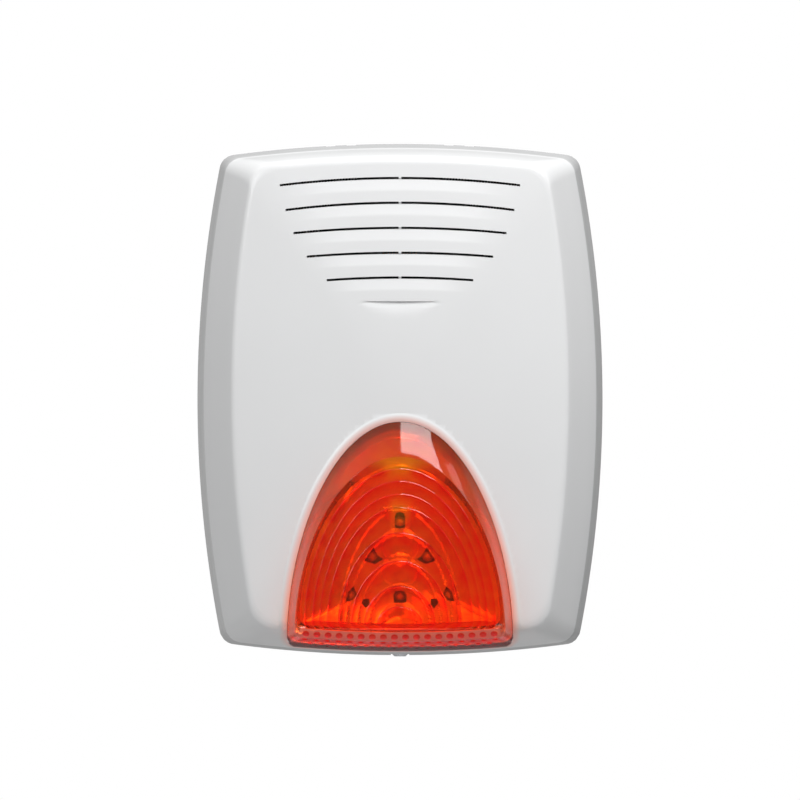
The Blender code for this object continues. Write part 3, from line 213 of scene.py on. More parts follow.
HINGE_DEPTH = 0.0045
HINGE_HEIGHT = 0.1263
HINGE_X = 0.030
KNUCKLE_RADIUS = 0.0023
KNUCKLE_HALF = 0.0028
KNUCKLE_RISE = 0.0018       # from the pin up into the top wall
LUG_SPAN = (0.0028, 0.0076)             # room for a lug of the wall box, from the middle of the hinge
LUG_NOTCH = 0.0100          # height and depth of that room
PIN_HOLE = 0.0013
PIN_HOLE_HALF = 0.0030

SCREW_DEPTH = 0.0150        # the cover's screw, upright through the bottom wall
SCREW_SEAT = -0.1276
SCREW_HEAD = 0.0042
SCREW_SHANK = 0.0020
SCREW_LENGTH = 0.0126
SCREW_SLOT = (2 * SCREW_SHANK + 0.0008, 0.0200, 0.0100)
SCREW_RECESS = (2 * SCREW_HEAD + 0.0010, 0.0280, 0.0040)

# ---------------------------------------------------------------- reflector
REFLECTOR_RIM = (0.0500, -0.0200, -0.1150, 0.0040)
REFLECTOR_RIM_DEPTH = 0.0680
REFLECTOR_FLOOR_DEPTH = 0.0570
REFLECTOR_WALL = 0.0012
REFLECTOR_RINGS = 72
REFLECTOR_CENTRE = -0.088   # height that the rings shrink towards
REFLECTOR_ARCH = {"arch_steps": 80, "corner_steps": 5, "foot_steps": 40}
# The flange behind the lens's wall, from its outer edge to the rim: how far out, depth
FLANGE = ((0.0057, 0.0630), (0.0056, 0.0645), (0.0040, 0.0655), (0.0014, 0.0674))
FLANGE_APEX = 1.25          # how much further out the flange runs at the apex than at the sides
FLANGE_FOOT = 1.45          # and at the foot
DISH_POWER = 2.2
DISH_LIP = (0.0470, -0.0270, -0.1140)   # arch of the lip round the top of the dish: half width, apex, foot
LIP_RISE = 0.0042
LIP_UP = (0.0, 0.085)       # shares of the arch between which the lip rises
LIP_DOWN = (0.10, 0.34)     # and falls
LIP_SIDES = (0.016, 0.036)  # the lip fades between these distances from the middle
# Hoods over the lamps, from the outside: half width, apex
HOODS = ((0.0300, -0.0545), (0.0262, -0.0669), (0.0205, -0.0811), (0.0150, -0.0938), (0.0085, -0.1043))
HOOD_FOOT = -0.1140
HOOD_RISE = 0.00255
HOOD_FALL = 0.00204
HOOD_BROW = 0.04            # share of a hood over which it rises
HOOD_SLOPE = 0.5            # and over which it falls again
# Round cups between the hoods: height of the middle, radius, rise
CUPS = ((-0.0745, 0.0092, 0.0030), (-0.0872, 0.0088, 0.0028), (-0.1115, 0.0085, 0.0026))
CUP_DOME = 0.9
CUP_DIMPLE = 0.75
# The funnel over the top lamp: foot, height, half width at the foot, spread, depth over the floor, rise
FUNNEL = (-0.0665, 0.0110, 0.0035, 0.0060, 0.0010, 0.0050)
# Windows at the lamps. One that starts on the middle line is mirrored into itself, and the others are a pair.
WINDOWS = (
    ((0.0, -0.0565), (0.0019, -0.0570), (0.0026, -0.0590), (0.0024, -0.0655), (0.0, -0.0662)),
    ((0.0135, -0.0745), (0.0182, -0.0815), (0.0124, -0.0838), (0.0080, -0.0815), (0.0112, -0.0790)),
    ((0.0232, -0.0945), (0.0262, -0.0972), (0.0275, -0.1022), (0.0235, -0.1018), (0.0210, -0.0988)),
    ((0.0185, -0.1010), (0.0192, -0.1030), (0.0165, -0.1060), (0.0146, -0.1040), (0.0150, -0.1012)),
    ((0.0, -0.0968), (0.0022, -0.0972), (0.0032, -0.0990), (0.0030, -0.1035), (0.0, -0.1038)),
)
WINDOW_CUT = (0.050, 0.080)
REFLECTOR_PEGS = ((-0.031, -0.070), (0.031, -0.070))
PEG = (0.0026, 0.0519, 0.0585)          # radius, and the depths of its ends
PEG_SOCKET = (0.0012, 0.0500, 0.0561)
LED_PLACES = ((0.0, -0.062), (-0.0137, -0.0796), (0.0137, -0.0796), (0.0, -0.100), (-0.0240, -0.099),
              (0.0240, -0.099))
LED_SEAT = 0.0519           # depth of the flasher board's face

# ---------------------------------------------------------------- horn and driver
HORN_HEIGHT = 0.0760
HORN_SCREW_CIRCLE = 0.0375
HORN_SCREW_BORE = (0.0017, 0.0240, 0.0299)      # radius, and the depths of its ends
HORN_SCREW_SEAT = (0.0036, 0.02985, 0.0380)
HORN_RIBS = 12
RIB_SIZE = (0.0270, 0.0060, 0.0012)
RIB_PLACE = (0.0262, 0.0325)            # distance from the axis and depth of a rib's middle
# Turned pieces: radius and depth of each corner
HORN_FLANGE = ((0.0100, 0.0270), (0.0100, 0.0298), (0.0405, 0.0298), (0.0415, 0.0290), (0.0415, 0.0270))
MOUTH_BEAD = ((0.0404, 0.0622), (0.0404, 0.0630), (0.0419, 0.0630), (0.0419, 0.0612))
THROAT_BORE = ((0.0, 0.020), (0.0090, 0.020), (0.0090, 0.0285), (0.0, 0.0285))
DRIVER_CUP = ((0.0315, 0.0267), (0.0315, 0.0046), (0.0309, 0.0040), (0.0220, 0.0030), (0.0040, 0.0030),
              (0.0040, 0.0050), (0.0213, 0.0050), (0.0295, 0.0056), (0.0295, 0.0267))
RING_MAGNET = ((0.0, 0.0180), (0.0233, 0.0180), (0.0240, 0.0173), (0.0240, 0.0060), (0.0233, 0.0053),
               (0.0, 0.0053))
CAPACITOR_CAN = ((0.0, 0.0305), (0.0040, 0.0305), (0.0052, 0.0309), (0.0060, 0.0306), (0.0063, 0.0299),
                 (0.0063, 0.0118), (0.0060, 0.0114), (0.0063, 0.0110), (0.0063, 0.0099), (0.0, 0.0099))
FILM = 0.0004               # thickness of the diaphragm
RIPPLES = (0.0280, 0.0110, 22, 0.0209, 0.00025)     # outer radius, width, steps, depth, height
DOME = (0.0170, 0.0033, 12, 0.0212)                 # radius, rise, steps, depth

# ---------------------------------------------------------------- boards and their parts
BOARD_TOP = 0.0099          # depth of the main board's face
SOLDER_DEPTH = 0.0098
TERMINAL_SIZE = (0.046, 0.011, 0.0085)
TERMINAL_PLACE = (-0.038, 0.0255)       # x and z of the middle
TERMINAL_WAYS = 8
TERMINAL_PITCH = 0.0056
TRANSFORMER_SIZE = (0.022, 0.019, 0.010)
TRANSFORMER_PLACE = (0.052, 0.014)
WINDING_SIZE = (0.0150, 0.0176, 0.0178)
RELAY_SIZE = (0.0155, 0.014, 0.0105)
RELAY_PLACE = (0.028, 0.004)
CHIP_SIZE = (0.0078, 0.0026, 0.0178)
CHIP_PLACE = (-0.004, 0.014)
CHIP_LIFT = 0.0003
CAPACITOR_PLACE = (-0.026, 0.004)
# Plugs: name, node, size, x, z
PLUGS = (("battery_plug", "battery_connector", (0.013, 0.008, 0.007), -0.050, -0.001),
         ("flasher_plug", "flasher_connector", (0.009, 0.008, 0.006), 0.012, -0.002))
RESISTOR_HEIGHTS = (-0.0065, 0.0225, 0.0300)
RESISTOR_SPAN = (0.008, 0.040)
RESISTORS = 9
RESISTOR_SIZE = (0.0015, 0.0007, 0.00115)
RESISTOR_END = (0.0004, 0.0008, 0.0012)
CHIP_LEGS = 13
CHIP_LEG = (0.0016, 0.0004, 0.0006)

# ---------------------------------------------------------------- screws
OUTWARD = (math.pi / 2, 0.0, 0.0)       # turns +Z to face out of the wall
INWARD = (-math.pi / 2, 0.0, 0.0)
DOWNWARD = (math.pi, 0.0, 0.0)
BOARD_SCREWS = [(sx * 0.071, 0.012 + sz * 0.018) for sx in (-1, 1) for sz in (-1, 1)]
FLASHER_POSTS = ((0.0, -0.0155), (-0.034, -0.1060), (0.034, -0.1060))
STRAP_SCREWS = ((0.026, -0.0912), (0.026, -0.0168))

# ---------------------------------------------------------------- box and battery
POCKET_DEPTH = 0.0007
POCKET_CORNER = 0.0030
# Shallow pockets in the rear of the box: half width, top, bottom, middle
REAR_POCKETS = [(0.0250, 0.0900, 0.0500, 0.0), (0.0250, -0.0920, -0.1120, 0.0), (0.0250, 0.1150, 0.0980, 0.0)]
REAR_POCKETS += [(0.0360, top, bottom, side * 0.0425) for side in (-1, 1)
                 for top, bottom in ((0.0400, 0.0040), (-0.0040, -0.0400), (-0.0480, -0.0840))]
KNOCK_OUT = (0.0670, 0.0760, 0.0095)    # x, z and radius of the thin cable knock-out
KNOCK_OUT_GROOVE = (0.0010, 0.0012)     # its width and depth
CUT_START = -0.0010         # cuts into the rear face start outside it

BATTERY_SIZE = (0.178, 0.035, 0.060)
BATTERY_PLACE = (0.0, 0.0215, -0.054)
LID_SEAM = 0.36             # height of the lid's seam over the middle, as a share of the battery's height
SEAM = (0.0012, 0.0007)     # its width across and upright
PANEL_HEIGHT = -0.0620      # height of the inset panels' middle
PANEL_SIZE = (0.0500, 0.0012, 0.0320)
END_PANEL_SIZE = (0.0012, 0.0250, 0.0320)
PANEL_PITCH = 0.0570
TERMINAL_WELL = (0.0090, 0.0090, 0.0012)
TERMINAL_WELL_X = 0.080
VENT_SIZE = (0.0120, 0.0030, 0.0012)
VENT_PITCH = 0.0200
VENT_SHIFT = 0.0060

# ---------------------------------------------------------------- colours
WHITE = (0.82, 0.825, 0.83)
# Painted glow of the lens's red light on the white cover
PINK = (0.95, 0.60, 0.54)
LENS_COLOR = (1.0, 0.12, 0.03)
LENS_THIN_AND_GLOW = (1.0, 0.56, 0.020)
LENS_THICK = (0.95, 0.022, 0.010)
LENS_FROST_AND_REFLECTION = (1.0, 0.24, 0.17)
LENS_LIGHT = (1.0, 0.75, 0.40)
BOARD_GREEN = (0.010, 0.10, 0.035)
BARE_GREEN = (0.008, 0.075, 0.028)
TRACK_GREEN = (0.020, 0.19, 0.065)

# Plain finishes: colour, roughness, metallic, change of shade, its scale, grain depth, grain scale
PLAIN_FINISHES = {
    "box_white_plastic": ((0.76, 0.765, 0.77), 0.42, 0.0, 0.020, 18.0, 0.00003, 1900.0),
    "black_horn_plastic": ((0.020, 0.020, 0.022), 0.38, 0.0, 0.15, 40.0, 0.00003, 1500.0),
    "black_rubber": ((0.025, 0.025, 0.025), 0.75, 0.0, 0.20, 60.0, 0.00004, 2600.0),
    "black_component_plastic": ((0.030, 0.030, 0.032), 0.50, 0.0, 0.15, 120.0, 0.00002, 3000.0),
    "screen_black_nylon": ((0.022, 0.022, 0.024), 0.55, 0.0, 0.10, 90.0, 0.00001, 3500.0),
    "battery_grey_case": ((0.085, 0.090, 0.098), 0.48, 0.0, 0.10, 30.0, 0.00004, 1400.0),
    "connector_ivory": ((0.70, 0.67, 0.58), 0.42, 0.0, 0.04, 60.0, 0.00002, 2000.0),
    "plunger_white_acetal": ((0.74, 0.74, 0.72), 0.32, 0.0, 0.03, 80.0, 0.00001, 2500.0),
    "red_sheath": ((0.50, 0.020, 0.015), 0.38, 0.0, 0.08, 70.0, 0.00002, 900.0),
    "black_sheath": ((0.022, 0.022, 0.022), 0.40, 0.0, 0.12, 70.0, 0.00002, 900.0),
    "grey_sheath": ((0.26, 0.26, 0.27), 0.40, 0.0, 0.08, 70.0, 0.00002, 900.0),
    "amber_diaphragm_film": ((0.42, 0.17, 0.05), 0.30, 0.0, 0.12, 50.0, 0.00004, 500.0),
    "tinned_brass": ((0.74, 0.73, 0.70), 0.28, 1.0, 0.06, 200.0, 0.00001, 2400.0),
    "zinc_driver_metal": ((0.50, 0.51, 0.53), 0.34, 1.0, 0.12, 45.0, 0.00003, 700.0),
}

# ---------------------------------------------------------------- stage
FLOOR_HEIGHT = -0.90
VIEW_WIDTH = 0.4069         # width that the picture takes in at the wall
VIEW_HEIGHT = -0.0002
LONG_LENS = 1000.0          # far camera, nearly without perspective
# Soft lights: name, place, target, size, brightness
SOFTBOXES = (
    ("key_softbox", (0.37, -0.74, 1.00), (0.37, -0.05, 0.0), 0.72, 9.2),
    ("right_fill", (1.3, -0.7, 0.9), (0.0, 0.0, 0.05), 0.5, 2.0),
    ("left_fill", (-1.2, -1.9, 0.7), (0.0, 0.0, 0.0), 0.9, 2.6),
)
# How the air's brightness changes with direction: axis, from, to, brightness at each
AIR = (("Z", -0.60, 0.75, 0.02, 0.93), ("Y", -1.0, -0.50, 0.44, 1.0), ("X", -1.0, 1.0, 1.0, 0.26))


# ---------------------------------------------------------------- small mesh helpers
def point(x, depth, z):
    """A place given by its depth from the wall."""
    return Vector((x, -depth, z))


def mix(a, b, share):
    """A value between two values."""
    return a + (b - a) * share


def smooth_share(value, low, high):
    """0 below low, 1 above high and a soft ramp between."""
    share = min(max((value - low) / (high - low), 0.0), 1.0)
    return share * share * (3 - 2 * share)


def smooth(mesh, angle):
    """Smooth shading, with sharp edges where the faces turn by more than an angle in degrees."""
    mesh.shade_smooth()
    mesh.set_sharp_from_angle(angle=math.radians(angle))


def mesh_object(name, shape, material=None, smooth_angle=None):
    """An object from a bmesh, which is freed."""
    mesh = bpy.data.meshes.new(name)
    shape.to_mesh(mesh)
    shape.free()
    obj = bpy.data.objects.new(name, mesh)
    bpy.context.scene.collection.objects.link(obj)
    if material:
        mesh.materials.append(material)
    if smooth_angle is not None:
        smooth(mesh, smooth_angle)
    return obj


def coat(obj, material, smooth_angle):
    """Give a finished piece its one material and its shading."""
    obj.data.materials.clear()
    obj.data.materials.append(material)
    smooth(obj.data, smooth_angle)


def bake_modifiers(obj, smooth_angle=None):
    """Turn an object with modifiers into its plain result."""
    graph = bpy.context.evaluated_depsgraph_get()
    result = bpy.data.meshes.new_from_object(obj.evaluated_get(graph), depsgraph=graph)
    obj.modifiers.clear()
    obj.data = result
    if smooth_angle is not None:
        smooth(result, smooth_angle)


def join_or_cut(obj, tool, operation):
    """Join a tool to a piece or cut it out, and drop the tool."""
    change = obj.modifiers.new(tool.name, "BOOLEAN")
    change.operation = operation
    change.solver = "MANIFOLD"
    change.object = tool
    bake_modifiers(obj)
    bpy.data.objects.remove(tool, do_unlink=True)


def add_box(shape, size, centre, turn=None):
    """A box in a bmesh; size and centre are x, depth, z."""
    place = Matrix.Translation(point(*centre)) @ (turn or Matrix.Identity(4)) @ Matrix.Diagonal((*size, 1.0))
    bmesh.ops.create_cube(shape, size=1.0, matrix=place)


def add_rod(shape, radius, start, end, steps=32):
    """A cylinder in a bmesh between two places."""
    run = end - start
    turn = Matrix.Translation((start + end) / 2) @ run.to_track_quat("Z", "Y").to_matrix().to_4x4()
    bmesh.ops.create_cone(shape, cap_ends=True, segments=steps, radius1=radius, radius2=radius,
                          depth=run.length, matrix=turn)


def change_piece(piece, name, operation, parts):
    """Join boxes (size, centre) and rods (radius, start, end, steps) to a piece, or cut them out."""
    tool = bmesh.new()
    for part in parts:
        if len(part) == 2:
            add_box(tool, *part)
        else:
            add_rod(tool, part[0], point(*part[1]), point(*part[2]), *part[3:])
    join_or_cut(piece, mesh_object(name, tool), operation)


def upright_rod(x, z, radius, near, far, steps):
    """A rod out of the wall, as change_piece takes it."""
    return radius, (x, near, z), (x, far, z), steps


def skin(shape, rows):
    """Faces between rows of points, each a closed outline."""
    for near, far in zip(rows, rows[1:]):
        for index in range(len(near)):
            after = (index + 1) % len(near)
            shape.faces.new((near[index], near[after], far[after], far[index]))


def tidy_faces(shape):
    """Turn the faces outwards."""
    bmesh.ops.recalc_face_normals(shape, faces=shape.faces)


def add_prism(shape, rows):
    """A capped solid in a bmesh through rows of places."""
    rows = [[shape.verts.new(place) for place in row] for row in rows]
    skin(shape, rows)
    shape.faces.new(rows[0])
    shape.faces.new(rows[-1])


def loft(name, rings, closed=False):
    """A solid through rings of equal count: capped at its ends, or closed into a loop."""
    shape = bmesh.new()
    if closed:
        rows = [[shape.verts.new(place) for place in ring] for ring in rings]
        skin(shape, rows + rows[:1])
    else:
        add_prism(shape, rings)
    tidy_faces(shape)
    return mesh_object(name, shape)


def thicken(obj, thickness):
    """Give an open surface its wall on the inner side."""
    wall = obj.modifiers.new("wall", "SOLIDIFY")
    wall.thickness = thickness
    wall.offset = -1.0
    bake_modifiers(obj)


def arc(centre, radius, start, stop, steps):
    """Points along an arc, both ends included."""
    angles = [mix(start, stop, index / steps) for index in range(steps + 1)]
    return [Vector((centre[0] + radius * math.cos(a), centre[1] + radius * math.sin(a))) for a in angles]


# ---------------------------------------------------------------- outlines
class Barrel:
    """A bowed rectangle with round corners, seen from the front."""

    def __init__(self, half_width, top, bottom, corner):
        self.middle = (top + bottom) / 2
        self.half_height = (top - bottom) / 2
        self.side = Vector((half_width - SIDE_ARC, 0.0))
        self.end = Vector((0.0, self.half_height - END_ARC))
        self.corner = corner
        span = self.end - self.side
        near, far = SIDE_ARC - corner, END_ARC - corner
        along = (near ** 2 - far ** 2 + span.length_squared) / (2 * span.length)
        unit = span.normalized()
        across = math.sqrt(near ** 2 - along ** 2)
        self.centre = self.side + unit * along + Vector((-unit.y, unit.x)) * across
        self.side_touch = self.side.y + (self.centre - self.side).normalized().y * SIDE_ARC
        self.end_touch = (self.centre - self.end).normalized().x * END_ARC
        self.knee = self.centre + Vector((1, 1)).normalized() * corner

    def half_at(self, z):
        """Half width at a height above the middle."""
        z = abs(z)
        if z <= self.side_touch:
            return self.side.x + math.sqrt(SIDE_ARC ** 2 - z * z)
        return self.centre.x + math.sqrt(max(self.corner ** 2 - (z - self.centre.y) ** 2, 0.0))

    def height_at(self, x):
        """Height of the top edge above the middle at a place along it."""
        x = abs(x)
        if x <= self.end_touch:
            return self.end.y + math.sqrt(END_ARC ** 2 - x * x)
        return self.centre.y + math.sqrt(max(self.corner ** 2 - (x - self.centre.x) ** 2, 0.0))

    def holds(self, x, z):
        """Whether a place is inside."""
        x, z = abs(x), abs(z - self.middle)
        if math.hypot(x - self.side.x, z) > SIDE_ARC or math.hypot(x, z - self.end.y) > END_ARC:
            return False
        if x > self.centre.x and z > self.centre.y:
            return math.hypot(x - self.centre.x, z - self.centre.y) <= self.corner
        return True

    def along_end(self, share, sign):
        """A place on the top (sign 1) or bottom (sign -1), from left to right."""
        x = mix(-self.knee.x, self.knee.x, share)
        return Vector((x, self.middle + sign * self.height_at(x)))

    def along_side(self, share, sign):
        """A place on the right (sign 1) or left (sign -1), from bottom to top."""
        z = mix(-self.knee.y, self.knee.y, share)
        return Vector((sign * self.half_at(z), self.middle + z))

    def ring(self, across, upright):
        """The whole outline, anticlockwise from its lower left knee."""
        places = [self.along_end(share, -1) for share in across[:-1]]
        places += [self.along_side(share, 1) for share in upright[:-1]]
        places += [self.along_end(share, 1) for share in reversed(across[1:])]
        places += [self.along_side(share, -1) for share in reversed(upright[1:])]
        return places


def ring_values(place):
    """Insets, corner and depth of the cover at a place between its rings, on a soft curve through them."""
    index = min(int(place), LAST_RING - 1)
    share = place - index
    rows = [COVER_RINGS[min(max(index + shift, 0), LAST_RING)] for shift in (-1, 0, 1, 2)]
    values = []
    for a, b, c, d in zip(*rows):
        start, finish = (c - a) / 2, (d - b) / 2
        values.append(b + start * share + (3 * (c - b) - 2 * start - finish) * share ** 2
                      + (2 * (b - c) + start + finish) * share ** 3)
    return values


def cover_outline(place):
    """Outline and depth of the cover at a place between its rings."""
    side, top, bottom, corner, depth = ring_values(place)
    return Barrel(HALF_WIDTH - side, TOP - top, BOTTOM + bottom, corner), depth


PANEL, PANEL_DEPTH = cover_outline(LAST_RING)


def cover_depth(x, z):
    """Depth of the cover's outer surface at a place on the front."""
    if PANEL.holds(x, z):
        return panel_depth(x, z)
    low, high = 0.0, float(LAST_RING)
    for _ in range(16):
        middle = (low + high) / 2
        if cover_outline(middle)[0].holds(x, z):
            low = middle
        else:
            high = middle
    return cover_outline(low)[1]


def panel_depth(x, z):
    """Depth of the crowned front panel, without its louvres."""
    low, high = 0.0, 1.0
    rise = z - PANEL.middle
    for _ in range(14):
        middle = (low + high) / 2
        if PANEL.holds(x / middle, PANEL.middle + rise / middle):
            high = middle
        else:
            low = middle
    return CROWN_DEPTH - (CROWN_DEPTH - PANEL_DEPTH) * high * high


def slot_height(slot, x):
    """Height of a slot's middle line at a place along it."""
    half_length, middle, end = slot
    return middle + (end - middle) * (x / half_length) ** 2


def louvre_recess(x, z):
    """How far the louvres lie below the crowned front."""
    for slot in SOUND_SLOTS:
        below = (slot_height(slot, x) - z) / PITCH
        if 0.0 < below < 0.5:
            fade = 1 - smooth_share(abs(x), slot[0] * LOUVRE_FLAT, slot[0] + LOUVRE_RUN_OUT)
            return LOUVRE_RECESS * fade * (1 - below * 2)
    swell = 1 - (x / LAST_EDGE[0]) ** 2
    drop = slot_height(LAST_EDGE, x) - z
    if swell > 0 and 0 < drop < CRESCENT_DROP * swell:
        return CRESCENT_RECESS * swell * (1 - drop / (CRESCENT_DROP * swell))
    return 0.0


def foot_height(x, foot):
    """The foot of the lens bows like the cover's bottom edge."""
    return foot + x * x / (2 * END_ARC)


def arch(half_width, apex, foot, corner, arch_steps=ARCH_STEPS, corner_steps=CORNER_STEPS,
         foot_steps=FOOT_STEPS):
    """The bullet outline of the flasher, anticlockwise seen from the front, from its right foot."""
    turn_x = half_width - corner
    spring = foot_height(turn_x, foot) + corner
    right = []
    for index in range(arch_steps + 1):
        angle = math.pi / 2 * index / arch_steps
        rise = max(math.sin(angle), 0.0) ** ARCH_POWER
        right.append(Vector((half_width * math.cos(angle), mix(spring, apex, rise))))
    right[-1].x = 0.0
    ring = right + [Vector((-p.x, p.y)) for p in reversed(right[:-1])]
    ring += arc((-turn_x, spring), corner, math.pi, math.pi * 1.5, corner_steps)[1:]
    for index in range(1, 2 * foot_steps):
        x = turn_x * (index / foot_steps - 1)
        ring.append(Vector((x, foot_height(x, foot))))
    ring += arc((turn_x, spring), corner, math.pi * 1.5, math.pi * 2, corner_steps)[:-1]
    return ring


def grow(edge, amount):
    """An arch's four sizes, grown all round."""
    half_width, apex, foot, corner = edge
    return (half_width + amount, apex + amount, foot - amount, corner + amount)


def lens_half_width(z):
    """Half width of the lens's edge at a height."""
    half_width, apex, foot, corner = LENS_EDGE
    spring = foot_height(half_width - corner, foot) + corner
    rise = (z - spring) / (apex - spring)
    return half_width * math.sqrt(1 - rise ** (2 / ARCH_POWER))


EAR_SCREWS = [(side * (lens_half_width(z) + EAR_REACH - EAR_SCREW_INSET), z)
              for z in EAR_HEIGHTS for side in (-1, 1)]
HORN_SCREWS = [(p.x, p.y) for p in arc((0.0, HORN_HEIGHT), HORN_SCREW_CIRCLE, math.pi / 2, math.pi * 11 / 6, 2)]


# ---------------------------------------------------------------- cover
def even_shares(count):
    """Equal steps from 0 to 1."""
    return [index / count for index in range(count + 1)]


def upright_shares():
    """Steps up the panel: fine where the louvres are and coarse elsewhere."""
    low = SOUND_SLOTS[-1][1] - LOUVRE_BELOW
    high = SOUND_SLOTS[0][1] + LOUVRE_ABOVE
    heights = []
    z = PANEL.middle - PANEL.knee.y
    top = PANEL.middle + PANEL.knee.y
    while z < top - 0.0004:
        heights.append(z)
        z += FINE_ROW if low < z < high else COARSE_ROW
    heights.append(top)
    return [(z - heights[0]) / (top - heights[0]) for z in heights]


def panel_edge(edge, wide, tall):
    """The panel's grid of points with only its border filled in, from the innermost ring."""
    grid = [[None] * (tall + 1) for _ in range(wide + 1)]
    for i in range(wide + 1):
        grid[i][0] = edge[i]
        grid[i][tall] = edge[wide + tall + (wide - i)]
    for j in range(tall + 1):
        grid[wide][j] = edge[wide + j]
        grid[0][j] = edge[(2 * wide + tall + (tall - j)) % len(edge)]
    return grid


def cover_surface():
    """The outer surface: rings for the sides and a grid for the crowned front with its louvres."""
    across, upright = even_shares(ACROSS_STEPS), upright_shares()
    shape = bmesh.new()
    rows = []
    for step in range(RING_STEPS + 1):
        outline, depth = cover_outline(LAST_RING * step / RING_STEPS)
        rows.append([shape.verts.new(point(p.x, depth, p.y)) for p in outline.ring(across, upright)])
    skin(shape, rows)
    wide, tall = len(across) - 1, len(upright) - 1
    grid = panel_edge(rows[-1], wide, tall)
    corners = [PANEL.along_end(0, -1), PANEL.along_end(1, -1), PANEL.along_end(0, 1), PANEL.along_end(1, 1)]
    lower = [PANEL.along_end(share, -1) for share in across]
    upper = [PANEL.along_end(share, 1) for share in across]
    left = [PANEL.along_side(share, -1) for share in upright]
    right = [PANEL.along_side(share, 1) for share in upright]
    for i in range(1, wide):
        for j in range(1, tall):
            u, v = across[i], upright[j]
            place = lower[i] * (1 - v) + upper[i] * v + left[j] * (1 - u) + right[j] * u
            place -= (corners[0] * (1 - u) + corners[1] * u) * (1 - v)
            place -= (corners[2] * (1 - u) + corners[3] * u) * v
            depth = panel_depth(place.x, place.y) - louvre_recess(place.x, place.y)
            grid[i][j] = shape.verts.new(point(place.x, depth, place.y))
    for i in range(wide):
        for j in range(tall):
            shape.faces.new((grid[i][j], grid[i + 1][j], grid[i + 1][j + 1], grid[i][j + 1]))
    return mesh_object("cover_shell", shape)


def slot_cutter():
    """The five bowed slots, each in two halves beside a thin web."""
    shape = bmesh.new()
    rear, front = SLOT_CUT
    corners = ((rear, -1), (front, -1), (front, 1), (rear, 1))
    for slot in SOUND_SLOTS:
        for side in (-1, 1):
            columns = []
            for share in even_shares(SLOT_STEPS):
                x = side * mix(SLOT_BRIDGE, slot[0], share)
                z = slot_height(slot, x)
                columns.append([point(x, depth, z + edge * SLOT_HEIGHT / 2) for depth, edge in corners])
            add_prism(shape, columns)
    tidy_faces(shape)
    return mesh_object("slot_cutter", shape)


def collar():
    """The soft raised lip of the cover round the arch of the lens."""
    low, high = COLLAR_FADE
    rings = []
    for outward, height in COLLAR_PROFILE:
        ring = []
        for p in arch(*grow(LENS_EDGE, outward)):
            shown = smooth_share(p.y, BOTTOM + low, BOTTOM + high)
            z = max(p.y, foot_height(p.x, BOTTOM + COLLAR_FOOT))
            ring.append(point(p.x, cover_depth(p.x, z) + mix(COLLAR_SINK, height, shown), z))
        rings.append(ring)
    return loft("collar", rings, closed=True)


def hinge_knuckle(middle):
    """Rows of a hinge knuckle of the cover, round the pin and up into the top wall."""
    outline = arc((0.0, 0.0), KNUCKLE_RADIUS, math.pi, 2 * math.pi, 14)
    outline += [Vector((KNUCKLE_RADIUS, KNUCKLE_RISE)), Vector((-KNUCKLE_RADIUS, KNUCKLE_RISE))]
    return [[point(middle + side * KNUCKLE_HALF, HINGE_DEPTH + p.x, HINGE_HEIGHT + p.y) for p in outline]
            for side in (-1, 1)]


def add_bosses(cover):
    """Hinge knuckles, bosses for the lens's ears, the plunger's post and the slot screen's posts."""
    knuckles = bmesh.new()
    for side in (-1, 1):
        add_prism(knuckles, hinge_knuckle(side * HINGE_X))
    tidy_faces(knuckles)
    join_or_cut(cover, mesh_object("knuckles", knuckles), "UNION")
    bosses = [(x, z, EAR_BOSS, cover_depth(x, z) - EAR_DROP + GAP, 32) for x, z in EAR_SCREWS]
    bosses.append((*PLUNGER_PLACE, PLUNGER_BOSS, PLUNGER_TOP + GAP, 32))
    bosses += [(x, z, SCREEN_POST, SCREEN_DEPTH - 0.0008, 20) for x, z in SCREEN_POSTS]
    change_piece(cover, "cover_bosses", "UNION",
                 [upright_rod(x, z, radius, near, cover_depth(x, z) - BOSS_ROOT, steps)
                  for x, z, radius, near, steps in bosses])


def make_cover(white):
    """The moulded front cover."""
    cover = cover_surface()
    thicken(cover, SHELL)
    join_or_cut(cover, collar(), "UNION")
    add_bosses(cover)
    rings = [[point(p.x, depth, p.y) for p in arch(*grow(LENS_EDGE, LENS_FIT))]
             for depth in (LENS_SEAT - 0.0005, 0.1)]
    join_or_cut(cover, loft("lens_opening", rings), "DIFFERENCE")
    join_or_cut(cover, slot_cutter(), "DIFFERENCE")
    near, far = LUG_SPAN
    change_piece(cover, "lug_notches", "DIFFERENCE",
                 [((far - near, LUG_NOTCH, LUG_NOTCH),
                   (side * HINGE_X + edge * (near + far) / 2, 0.0030, HINGE_HEIGHT + 0.0015))
                  for side in (-1, 1) for edge in (-1, 1)])
    change_piece(cover, "screw_slot", "DIFFERENCE", [(SCREW_SLOT, (0.0, SCREW_DEPTH - 0.0076, -0.1270))])
    change_piece(cover, "screw_recess", "DIFFERENCE",
                 [(SCREW_RECESS, (0.0, SCREW_DEPTH + SCREW_HEAD - 0.0135, SCREW_SEAT - SCREW_RECESS[2] / 2))])
    bores = [(PIN_HOLE, (side * HINGE_X - PIN_HOLE_HALF, HINGE_DEPTH, HINGE_HEIGHT),
              (side * HINGE_X + PIN_HOLE_HALF, HINGE_DEPTH, HINGE_HEIGHT), 24) for side in (-1, 1)]
    for x, z in EAR_SCREWS:
        surface = cover_depth(x, z)
        bores.append(upright_rod(x, z, EAR_BORE, surface - 0.0080, surface - 0.0014, 16))
    change_piece(cover, "cover_bores", "DIFFERENCE", bores)
    cover.name = "cover_moulding"
    coat(cover, white, 34)
    mark_lens_surround(cover)
    place_piece(cover, "cover", "cover_plastic", "front_cover")


